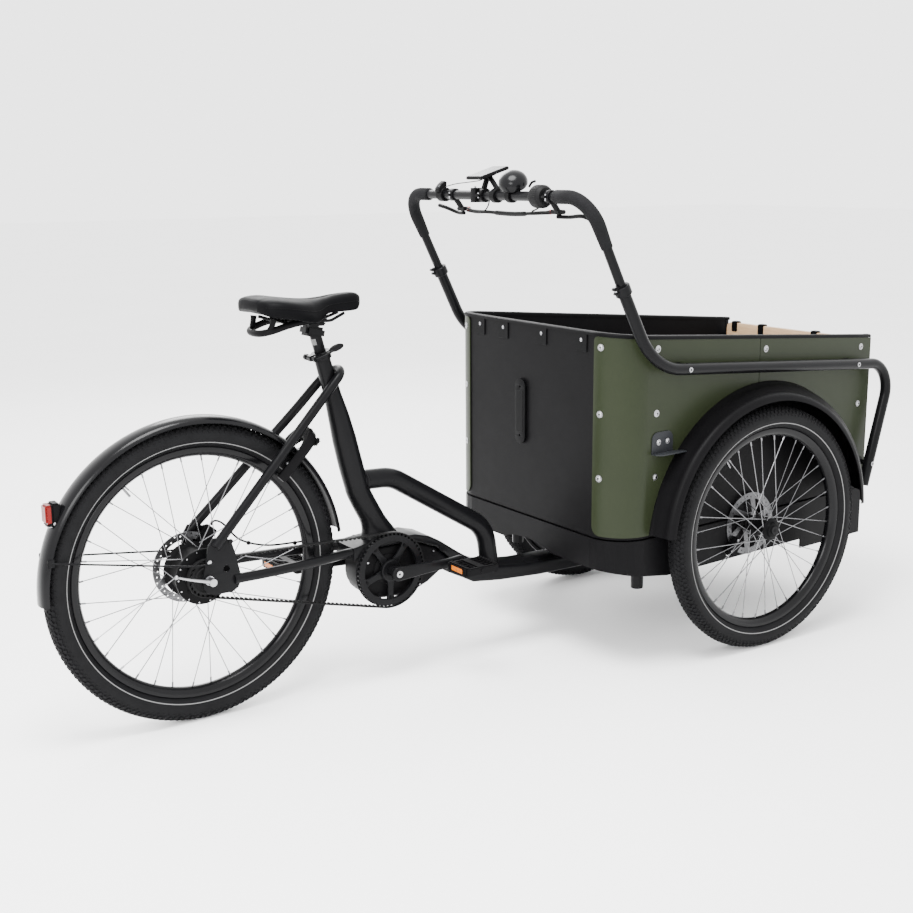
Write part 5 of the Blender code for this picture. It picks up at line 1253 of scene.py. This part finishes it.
heads = bag()
# the dark hexagons on these screw heads are painted shade for their recesses
painted_socket_shade = bag()
for side in (-1, 1):
    corner = corner_point(math.radians(17), 0)
    for z in (0.785, 0.629, 0.476):
        add_screw(heads, painted_socket_shade, Vector((corner[0], side * corner[1], z)), outward_at(corner[0], side * corner[1]))
    for x, z in ((1.0147, 0.779), (1.0147, 0.628), (1.0147, 0.476), (1.400, 0.746), (1.791, 0.718), (1.791, 0.564),
                 (1.791, 0.411)):
        add_screw(heads, painted_socket_shade, Vector((x, side * half_width(x), z)), outward_at(x, side))
make(heads, "panel_screws", STEEL, BOX)
make(painted_socket_shade, "panel_screw_socket_shade", DARK_PLASTIC, BOX)

# angle brackets on the box sides, above the mudguards
brackets = bag()
bracket_screws = bag()
# the dark hexagons on the bracket screws are painted shade for their recesses
bracket_socket_shade = bag()
for side in (-1, 1):
    y = half_width(1.035) * side
    lean = math.atan(TAPER) * -side
    wall = Matrix.Translation((1.035, y + side * 0.0016, 0.555)) @ Matrix.Rotation(lean, 4, "Z")
    local = bag()
    shape = [(-0.035, -0.022), (0.035, -0.022), (0.035, 0.010)] + circle(0.017, 0.010, 0.018, 8, 0.0, math.pi / 2)
    shape += circle(-0.017, 0.010, 0.018, 8, math.pi / 2, math.pi / 2) + [(-0.035, 0.010)]
    add_plate(local, [shape], 0.0030, (0, 0, 0), None, 0.0006)
    tab = [(-0.035, 0.0), (0.035, 0.0), (0.060, 0.010), (0.070, 0.020), (0.062, 0.026), (-0.020, 0.026), (-0.035, 0.014)]
    add_plate(local, [[(x, side * v) for x, v in tab]], 0.0030, (0, 0, -0.0230), Matrix.Identity(4), 0.0006)
    add_bm(brackets, local, wall)
    for x in (-0.014, 0.016):
        spot = wall @ Vector((x, side * 0.0016, 0.004))
        add_screw(bracket_screws, bracket_socket_shade, spot, outward_at(1.035, side), 0.0048)
make(brackets, "side_brackets", LIGHT_GREY, BOX)
make(bracket_screws, "side_bracket_screws", STEEL, BOX)
make(bracket_socket_shade, "side_bracket_socket_shade", DARK_PLASTIC, BOX)

# slotted strip and stud plates on the rear wall
plate = bag()
strip = circle(0, 0.0620, 0.0210, 16, 0.0, math.pi) + circle(0, -0.0620, 0.0210, 16, math.pi, math.pi)
wall_turn = Matrix.Rotation(math.pi / 2, 4, "Z") @ Matrix.Rotation(math.pi / 2, 4, "X")
add_plate(plate, [strip, circle(0, 0.062, 0.0030, 12), circle(0, -0.062, 0.0030, 12)], 0.0044,
          (BOX_REAR + SHELL - 0.0052, 0.027, 0.5935), wall_turn, 0.0005)
add_block(plate, (0.0010, 0.0260, 0.1060), (BOX_REAR + SHELL - 0.0076, 0.027, 0.5935), 0.0004, None, 1)
for y in (0.209, 0.106, -0.054, -0.209):
    add_block(plate, (0.0016, 0.0400, 0.0420), (BOX_REAR + 0.0012, y, 0.7900), 0.0006, None, 1)
make(plate, "rear_wall_fittings", DARK_PLASTIC, BOX)
studs = bag()
# the dark hexagons on the stud heads are painted shade for their recesses
stud_socket_shade = bag()
for y, z in ((0.027, 0.6600), (0.027, 0.5270), (0.209, 0.7965), (0.106, 0.7965), (-0.054, 0.7965), (-0.209, 0.7965)):
    add_screw(studs, stud_socket_shade, Vector((BOX_REAR + 0.0006, y, z)), Vector((-1, 0, 0)), 0.0032)
make(studs, "rear_wall_studs", STEEL, BOX)
make(stud_socket_shade, "rear_wall_stud_socket_shade", DARK_PLASTIC, BOX)

keep("box_skirt", BLACK_PLASTIC, 32)
keep("front_chassis", FRAME_PAINT, 32)
keep("battery_pack", DARK_PLASTIC, 32)
low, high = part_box("battery_pack")
low -= OFFSET
high -= OFFSET
pack = bag()
add_block(pack, (0.070, 0.060, 0.0030), ((low.x + high.x) / 2, 0, high.z + 0.0012), 0.0010)
add_rod(pack, (low.x - 0.0004, -0.110, 0.405), (low.x - 0.0030, -0.110, 0.405), 0.0110, 28, bevel=0.0008)
for step in range(5):
    add_block(pack, (0.0016, 0.0120, 0.0040), (low.x - 0.0006, 0.060 + step * 0.016, 0.430), 0.0005, None, 1)
make(pack, "battery_details", BLACK_PLASTIC, BOX)

for side, label in ((-1, "right"), (1, "left")):
    guard = bag()
    wheel_at = Vector((FRONT_AXLE.x, FRONT_AXLE.z))
    grids = []
    for step in range(73):
        angle = math.radians(173 - 166 * step / 72)
        arch = Vector((ARCH_X + (ARCH_A - 0.001) * math.cos(angle), ARCH_Z + (ARCH_B - 0.001) * math.sin(angle)))
        away = (arch - wheel_at).normalized()
        wall = half_width(arch.x) - 0.0030
        reach = (arch - wheel_at).length
        marks = [(reach, wall), (reach * 0.73 + 0.345 * 0.27, 0.332), (reach * 0.45 + 0.345 * 0.55, 0.350),
                 (reach * 0.12 + 0.342 * 0.88, 0.374), (0.3425, 0.388), (0.3385, 0.3965), (0.3320, 0.4005),
                 (0.3240, 0.4018)]
        if wall > 0.322:
            marks[1] = (marks[1][0], wall + (0.350 - wall) * 0.45)
        outer = smooth_path([Vector((r, y, 0)) for r, y in marks], 3)
        row = [wheel_at + away * p.x for p in outer]
        ring = [guard.verts.new((q.x, side * p.y, q.y)) for q, p in zip(row, outer)]
        back = []
        for index, p in enumerate(outer):
            nxt = outer[min(index + 1, len(outer) - 1)]
            prv = outer[max(index - 1, 0)]
            way = (nxt - prv).normalized()
            q = wheel_at + away * (p.x - abs(way.y) * 0.0024)
            back.append(guard.verts.new((q.x, side * (p.y - abs(way.x) * 0.0024 * (index > 0)), q.y)))
        grids.append(ring + back[::-1])
    for one, two in zip(grids, grids[1:]):
        for k in range(len(one)):
            after = (k + 1) % len(one)
            guard.faces.new((one[k], one[after], two[after], two[k]))
    guard.faces.new(grids[0])
    guard.faces.new(grids[-1][::-1])
    make(guard, f"wheel_arch_{label}", BLACK_PLASTIC, BOX, [f"front_mudguard_{label}"], 50)


# ---------------------------------------------------------------- bench board
bench = bag()
outline = [(-0.237, -0.123), (0.237, -0.123)]
outline += circle(0.237 - 0.018, 0.123 - 0.018, 0.018, 8, 0.0, math.pi / 2)
outline += circle(-0.237 + 0.018, 0.123 - 0.018, 0.018, 8, math.pi / 2, math.pi / 2)
add_plate(bench, [outline], 0.0150, (1.8105, 0, 0.6145), wall_turn, 0.0012)
make(bench, "bench_plywood", WOOD, "bench_body", ["bench_board"])
fittings = bag()
for y in (0.205, 0.100, -0.100, -0.205):
    add_block(fittings, (0.0200, 0.0220, 0.0300), (1.8103, y, 0.7270), 0.0020)
for y in (0.170, -0.170):
    add_block(fittings, (0.0030, 0.0500, 0.0400), (1.8022, y, 0.5150), 0.0010)
    add_rod(fittings, (1.8024, y - 0.026, 0.4935), (1.8024, y + 0.026, 0.4935), 0.0046, 20, bevel=0.0006)
make(fittings, "bench_clips", DARK_PLASTIC, "bench_body")
screws = bag()
for y in (0.186, 0.154, -0.154, -0.186):
    add_rod(screws, (1.8008, y, 0.5210), (1.7998, y, 0.5210), 0.0036, 18, bevel=0.0004)
make(screws, "bench_screws", STEEL, "bench_body")


# ---------------------------------------------------------------- rails along the box
def leg_point(z, side):
    return Vector((BAR.x + 0.4966 * (BAR.z - z), side * 0.3730, z))


LEG = (leg_point(0.8, 1) - leg_point(1.0, 1)).normalized()
MOUTH_Z = 0.935


def add_sleeve_tube(bm, path, radius, bore, depth, sides=28):
    """A tube whose first end is open, for the bar's leg that slides in it."""
    first = len(bm.faces)
    add_tube(bm, path, radius, sides)
    bm.faces.ensure_lookup_table()
    caps = [face for face in bm.faces[first:] if len(face.verts) == sides
            and (face.calc_center_median() - path[0]).length < 0.001]
    edge = [vert for vert in caps[0].verts]
    bmesh.ops.delete(bm, geom=caps, context="FACES_ONLY")
    along = (path[1] - path[0]).normalized()
    rings = [edge]
    for reach, width in ((0.0, bore), (depth, bore)):
        rings.append([bm.verts.new(path[0] + along * reach + (vert.co - path[0]).normalized() * width) for vert in edge])
    for one, two in zip(rings, rings[1:]):
        for k in range(len(one)):
            after = (k + 1) % len(one)
            bm.faces.new((one[k], one[after], two[after], two[k]))
    bm.faces.new(rings[-1])


for side, label in ((-1, "right"), (1, "left")):
    def rail_at(x):
        return Vector((x, side * (half_width(x) + 0.033), rim_at(x) - 0.0756))

    foot = Vector((1.7920, side * (half_width(1.7920) + 0.033), 0.345))
    mouth = leg_point(MOUTH_Z, side)
    path = rounded_path([mouth, rail_at(0.9690), rail_at(1.8930), foot], [0.16, 0.075], 18)
    rail = bag()
    add_sleeve_tube(rail, path, 0.0140, 0.0118, 0.110)
    posts = [rail_at(1.080), rail_at(1.725), foot.lerp(rail_at(1.8930), 0.18)]
    for point in posts:
        wall = Vector((point.x, side * (half_width(point.x) + 0.0008), point.z))
        add_rod(rail, point, wall, 0.0068, 20)
        add_rod(rail, wall, wall + Vector((0, side * 0.0035, 0)), 0.0130, 28, bevel=0.0008)
    slope = LEG.to_track_quat("Z", "Y").to_matrix().to_4x4()
    add_lathe(rail, [(0.0142, 0.0015), (0.0176, 0.0015), (0.0190, 0.0030), (0.0190, 0.0225), (0.0176, 0.0240),
                     (0.0142, 0.0240)], 36, mouth, turn=slope)
    for up in (0.0055, -0.0055):
        add_block(rail, (0.0150, 0.0150, 0.0068), mouth + LEG * 0.013 + Vector((-0.0200, side * 0.002, 0))
                  + LEG * up, 0.0022, slope)
    make(rail, f"rail_tube_{label}", FRAME_PAINT, BOX, [f"side_rail_{label}"], 40)
    bolts = bag()
    spot = mouth + LEG * 0.013 + Vector((-0.0215, side * 0.002, 0))
    add_rod(bolts, spot - LEG * 0.0098, spot + LEG * 0.0098, 0.0034, 18, bevel=0.0005)
    for point in posts:
        outer = point + Vector((0, side * 0.0132, 0))
        add_rod(bolts, outer, outer + Vector((0, side * 0.0024, 0)), 0.0060, 24, bevel=0.0007)
    make(bolts, f"rail_bolts_{label}", STEEL, BOX)
    # the dark hexagons on the rail bolt heads are painted shade for their sockets
    rail_socket_shade = bag()
    for point in posts:
        outer = point + Vector((0, side * 0.0150, 0))
        add_rod(rail_socket_shade, outer, outer + Vector((0, side * 0.0007, 0)), 0.0028, 6)
    make(rail_socket_shade, f"rail_bolt_socket_shade_{label}", DARK_PLASTIC, BOX)


# ---------------------------------------------------------------- handlebar
LEVERS = {"left": (0.150, 1, [(0.004, 0.075, 0.010), (0.006, 0.115, 0.016)]),
          "right": (-0.238, -1, [(0.004, 0.075, 0.003), (0.006, 0.105, -0.003)])}
bar = bag()
corners = [leg_point(0.853, 1), leg_point(BAR.z, 1), leg_point(BAR.z, -1), leg_point(0.853, -1)]
add_tube(bar, rounded_path(corners, [0.070, 0.070], 18), 0.0111, 28)
for y, reach, _ in LEVERS.values():
    add_lathe(bar, [(0.0113, -0.0100), (0.0142, -0.0100), (0.0151, -0.0088), (0.0151, 0.0088), (0.0142, 0.0100),
                    (0.0113, 0.0100)], 40, BAR + Vector((0, y, 0)))
    add_rod(bar, BAR + Vector((0.004, y, -0.008)), BAR + Vector((0.024, y, -0.034)), 0.0068, 20)
    add_block(bar, (0.0215, 0.0335, 0.0098), BAR + Vector((0.026, y - reach * 0.004, -0.034)), 0.0022)
    add_block(bar, (0.0110, 0.0150, 0.0060), BAR + Vector((-0.0150, y, 0.0)), 0.0014)
    add_rod(bar, BAR + Vector((0.026, y, -0.0400)), BAR + Vector((0.026, y, -0.0288)), 0.0066, 20, bevel=0.0008)
make(bar, "bar_tube", FRAME_PAINT, HANDLE, ["handlebar"], 40)

barrels = bag()
knobs = bag()
for y, reach, _ in LEVERS.values():
    at_perch = BAR + Vector((0.026, y - reach * 0.020, -0.034))
    add_rod(barrels, at_perch, at_perch - Vector((0, reach * 0.0130, 0)), 0.0036, 16, bevel=0.0004)
    add_rod(barrels, BAR + Vector((-0.0150, y - 0.0032, -0.0090)), BAR + Vector((-0.0150, y - 0.0032, 0.0060)), 0.0022, 14)
    add_rod(knobs, at_perch - Vector((0, reach * 0.0060, 0)), at_perch - Vector((0, reach * 0.0100, 0)), 0.0050, 16)
make(barrels, "lever_adjusters", STEEL, HANDLE)
make(knobs, "lever_adjuster_rings", RED_METAL, HANDLE)

for side, label in ((1, "left"), (-1, "right")):
    sleeve = bag()
    start = Vector((BAR.x, side * 0.262, BAR.z))
    path = rounded_path([start, leg_point(BAR.z, side), leg_point(1.018, side)], [0.070], 24)
    add_tube(sleeve, [start, start + Vector((0, side * 0.001, 0))] + path[1:], 0.0155, 32,
             [0.94] + [1.0] * (len(path) - 1) + [0.86])
    make(sleeve, f"foam_sleeve_{label}", GRIP, HANDLE, [f"grip_{label}"], 60)

for label, (y, reach, bends) in LEVERS.items():
    pin = BAR + Vector((0.026, y, -0.0445))
    points = [pin + Vector((a, reach * b, c)) for a, b, c in [(0, -0.006, 0), (0.006, 0.030, 0)] + bends]
    blade = bag()
    path = smooth_path(points, 10)
    add_tube(blade, path, 0.0047, 20, spread_radii([0.95, 0.92, 1.0, 1.0], 10))
    add_ball(blade, path[-1], 0.0049, (1, 1.2, 1))
    make(blade, f"lever_blade_{label}", DARK_PLASTIC, f"lever_{label}_body", [f"brake_lever_{label}"], 60)

# display on its stalk
mount = bag()
display_at = BAR + Vector((0, 0.020, 0))
add_lathe(mount, [(0.0115, -0.0100), (0.0155, -0.0100), (0.0165, -0.0088), (0.0165, 0.0088), (0.0155, 0.0100),
                  (0.0115, 0.0100)], 40, display_at)
add_block(mount, (0.0100, 0.0140, 0.0390), display_at + Vector((0.006, 0, 0.032)), 0.0022,
          Matrix.Rotation(math.radians(20), 4, "Y"))
add_block(mount, (0.0130, 0.0180, 0.0075), display_at + Vector((-0.0160, 0, 0.0)), 0.0018)
box_clamp = [(-0.0190, -0.0165), (0.0170, -0.0165), (0.0170, 0.0175), (-0.0190, 0.0175)]
add_plate(mount, [box_clamp, circle(0, 0, 0.0115, 40)], 0.0210, display_at + Vector((0, 0.0200, 0)), None, 0.0018)
add_lathe(mount, [(0.0115, -0.0085), (0.0160, -0.0085), (0.0170, -0.0073), (0.0170, 0.0073), (0.0160, 0.0085),
                  (0.0115, 0.0085)], 40, display_at + Vector((0, -0.0520, 0)))
add_rod(mount, display_at + Vector((0.004, -0.0520, 0.0130)), display_at + Vector((0.010, -0.0080, 0.0440)), 0.0062, 20,
        bevel=0.0010)
face_turn = Matrix.Rotation(math.radians(-17), 4, "Y")
face_at = display_at + Vector((0.010, 0, 0.052))
add_block(mount, (0.0840, 0.0660, 0.0079), face_at, 0.0020, face_turn, 3)
add_block(mount, (0.0300, 0.0260, 0.0060), face_at + face_turn @ Vector((0, 0, -0.0060)), 0.0015, face_turn)
make(mount, "display_housing", BLACK_PLASTIC, "display_body", ["display"])
face = bag()
add_block(face, (0.0760, 0.0580, 0.0010), face_at + face_turn @ Vector((0, 0, 0.0038)), 0.0004, face_turn, 1)
make(face, "display_glass", SCREEN, "display_body")
screws = bag()
add_rod(screws, display_at + Vector((-0.0160, 0, -0.0060)), display_at + Vector((-0.0160, 0, 0.0062)), 0.0026, 16)
add_rod(screws, display_at + Vector((-0.0120, 0.0200, 0.0170)), display_at + Vector((-0.0120, 0.0200, 0.0215)), 0.0030, 16)
make(screws, "display_screw", STEEL, "display_body")

# assist remote and its wire
remote = bag()
remote_at = BAR + Vector((0, 0.196, 0))
add_lathe(remote, [(0.0115, -0.0120), (0.0160, -0.0120), (0.0170, -0.0108), (0.0170, 0.0108), (0.0160, 0.0120),
                   (0.0115, 0.0120)], 40, remote_at)
fin = [(-0.0200, 0.0060), (-0.0205, 0.0150), (-0.0130, 0.0250), (-0.0020, 0.0330), (0.0030, 0.0300),
       (0.0020, 0.0150), (0.0100, 0.0100), (0.0000, 0.0080)]
add_plate(remote, [fin], 0.0200, remote_at, None, 0.0012)
make(remote, "assist_remote_case", BLACK_PLASTIC, HANDLE, ["assist_remote"])
keys = bag()
for step in (-1, 1):
    add_block(keys, (0.0075, 0.0072, 0.0016), remote_at + Vector((-0.0165, step * 0.0045, 0.0205)), 0.0006,
              Matrix.Rotation(math.radians(-50), 4, "Y"), 1)
make(keys, "assist_keys", LIGHT_GREY, HANDLE)

# bell and its striker
bell = bag()
tilt = Matrix.Rotation(math.radians(-25), 4, "Y") @ Matrix.Rotation(math.radians(20), 4, "X")
bell_at = BAR + Vector((0.006, -0.092, 0.022))
add_lathe(bell, [(0.0, 0.0060), (0.0312, 0.0060), (0.0324, 0.0045), (0.0336, 0.0052), (0.0340, 0.0110), (0.0326, 0.0175),
                 (0.0292, 0.0238), (0.0240, 0.0287), (0.0172, 0.0325), (0.0086, 0.0352), (0.0, 0.0360)], 60, bell_at,
          closed=False, turn=tilt)
make(bell, "bell_dome", GLOSS, HANDLE, (), 50)
base = bag()
add_lathe(base, [(0.0, 0.0), (0.0282, 0.0), (0.0312, 0.0016), (0.0312, 0.0058), (0.0, 0.0058)], 48, bell_at,
          closed=False, turn=tilt)
add_lathe(base, [(0.0114, -0.0080), (0.0150, -0.0080), (0.0160, -0.0068), (0.0160, 0.0068), (0.0150, 0.0080),
                 (0.0114, 0.0080)], 40, BAR + Vector((0, -0.092, 0)))
add_rod(base, BAR + Vector((0, -0.092, 0.012)), BAR + Vector((0.006, -0.092, 0.028)), 0.0064, 20)
make(base, "bell_base", BLACK_PLASTIC, HANDLE, ["bell"])
striker = bag()
pin = BAR + Vector((0.018, -0.1350, 0.020))
tip = pin + Vector((0.009, -0.010, 0.013))
add_tube(striker, smooth_path([pin, pin + Vector((0.004, -0.005, 0.010)), tip], 8), 0.0028, 18)
add_ball(striker, tip, 0.0030)
make(striker, "bell_hammer", DARK_PLASTIC, "striker_body", ["bell_striker"], 60)

# twist shifter
twist = bag()
twist_at = BAR + Vector((0, -0.203, 0))
add_lathe(twist, [(0.0115, -0.0210), (0.0200, -0.0210), (0.0222, -0.0186), (0.0250, -0.0140), (0.0256, -0.0125),
                  (0.0256, 0.0125), (0.0250, 0.0140), (0.0222, 0.0186), (0.0200, 0.0210), (0.0115, 0.0210)], 72, twist_at)
for rib in range(36):
    angle = math.tau * rib / 36
    add_block(twist, (0.0012, 0.0240, 0.0018), twist_at + Vector((math.cos(angle) * 0.0255, 0, math.sin(angle) * 0.0255)),
              0.0004, Matrix.Rotation(-angle, 4, "Y"), 1)
make(twist, "twist_grip", BELT, "shifter_body", ["twist_shifter"])

# wires and hoses under the bar
loom = bag()
route = [(0.024, 0.126, -0.0360), (0.022, 0.080, -0.040), (0.020, 0.020, -0.040), (0.020, -0.060, -0.042),
         (0.020, -0.130, -0.040), (0.022, -0.190, -0.036), (0.024, -0.213, -0.0345)]
middle = smooth_path([BAR + Vector(point) for point in route], 10)
for phase, radius in ((0.0, 0.0024), (2.1, 0.0024), (4.2, 0.0021)):
    strand = []
    for index, point in enumerate(middle):
        t = index / (len(middle) - 1)
        open_up = 0.0019 + 0.0016 * (1 - math.sin(math.pi * t))
        turn = phase + 5.5 * t
        strand.append(point + Vector((math.cos(turn), 0, math.sin(turn))) * open_up)
    add_tube(loom, strand, radius, 12)
add_tube(loom, middle[22:40], 0.0056, 18, [0.7] + [1.0] * 16 + [0.7])
make(loom, "control_wires", BELT, HANDLE, ["control_cables"], 60)
wires = bag()
add_tube(wires, smooth_path([BAR + Vector(point) for point in (
    (0.004, 0.188, 0.020), (0.006, 0.150, 0.026), (0.008, 0.100, 0.030), (0.010, 0.055, 0.034), (0.010, 0.030, 0.040))], 8),
    0.0012, 10)
add_tube(wires, smooth_path([BAR + Vector(point) for point in (
    (0.016, 0.020, -0.012), (0.018, 0.030, -0.026), (0.020, 0.045, -0.036), (0.020, 0.060, -0.039))], 8), 0.0016, 10)
add_tube(wires, smooth_path([BAR + Vector(point) for point in (
    (0.016, -0.150, -0.034), (0.020, -0.165, -0.028), (0.018, -0.178, -0.022), (0.012, -0.184, -0.016))], 8), 0.0018, 10)
make(wires, "display_wires", BELT, HANDLE, (), 60)


# ---------------------------------------------------------------- floor, light and camera
floor = bpy.data.objects.new("studio_floor", bpy.data.meshes.new("studio_floor"))
bpy.context.scene.collection.objects.link(floor)
plane = bag()
bmesh.ops.create_grid(plane, x_segments=2, y_segments=2, size=30.0)
plane.to_mesh(floor.data)
plane.free()
floor.data.materials.append(surface("pale_floor", (0.94, 0.94, 0.94), 0.75, tone=0.012, tone_scale=1.5, grain=60.0,
                                    depth=0.0001, specular=0.1))

world = bpy.data.worlds.new("studio")
world.use_nodes = True
world.node_tree.nodes["Background"].inputs["Color"].default_value = (1.0, 1.0, 1.0, 1)
world.node_tree.nodes["Background"].inputs["Strength"].default_value = 3.3
bpy.context.scene.world = world


def area_light(name, place, target, size, power):
    lamp = bpy.data.lights.new(name, "AREA")
    lamp.shape = "DISK"
    lamp.size = size
    lamp.energy = power
    obj = bpy.data.objects.new(name, lamp)
    bpy.context.scene.collection.objects.link(obj)
    obj.location = at(*place)
    obj.rotation_euler = (at(*target) - at(*place)).to_track_quat("-Z", "Y").to_euler()


area_light("key_overhead", (-0.2, -0.6, 3.6), (0.6, 0.0, 0.3), 1.8, 270)
area_light("side_left", (-2.6, -2.2, 2.4), (0.4, 0.0, 0.6), 1.6, 130)
area_light("rim_back", (1.6, 3.4, 2.8), (0.8, 0.0, 0.6), 2.0, 100)

camera_data = bpy.data.cameras.new("studio_camera")
camera_data.sensor_width = 36
camera_data.lens = 52.61
camera_data.clip_start = 0.05
camera = bpy.data.objects.new("studio_camera", camera_data)
bpy.context.scene.collection.objects.link(camera)
YAW = 0.5809
PITCH = -0.2121
ROLL = -0.0068
ahead = Vector((math.sin(YAW) * math.cos(PITCH), math.cos(YAW) * math.cos(PITCH), math.sin(PITCH)))
level = ahead.cross(Z_AXIS).normalized()
upward = level.cross(ahead)
right = math.cos(ROLL) * level + math.sin(ROLL) * upward
above = math.cos(ROLL) * upward - math.sin(ROLL) * level
eye = at(-1.0546, -2.6414, 1.1876)
camera.matrix_world = Matrix(((right.x, above.x, -ahead.x, eye.x), (right.y, above.y, -ahead.y, eye.y),
                              (right.z, above.z, -ahead.z, eye.z), (0, 0, 0, 1)))
bpy.context.scene.camera = camera
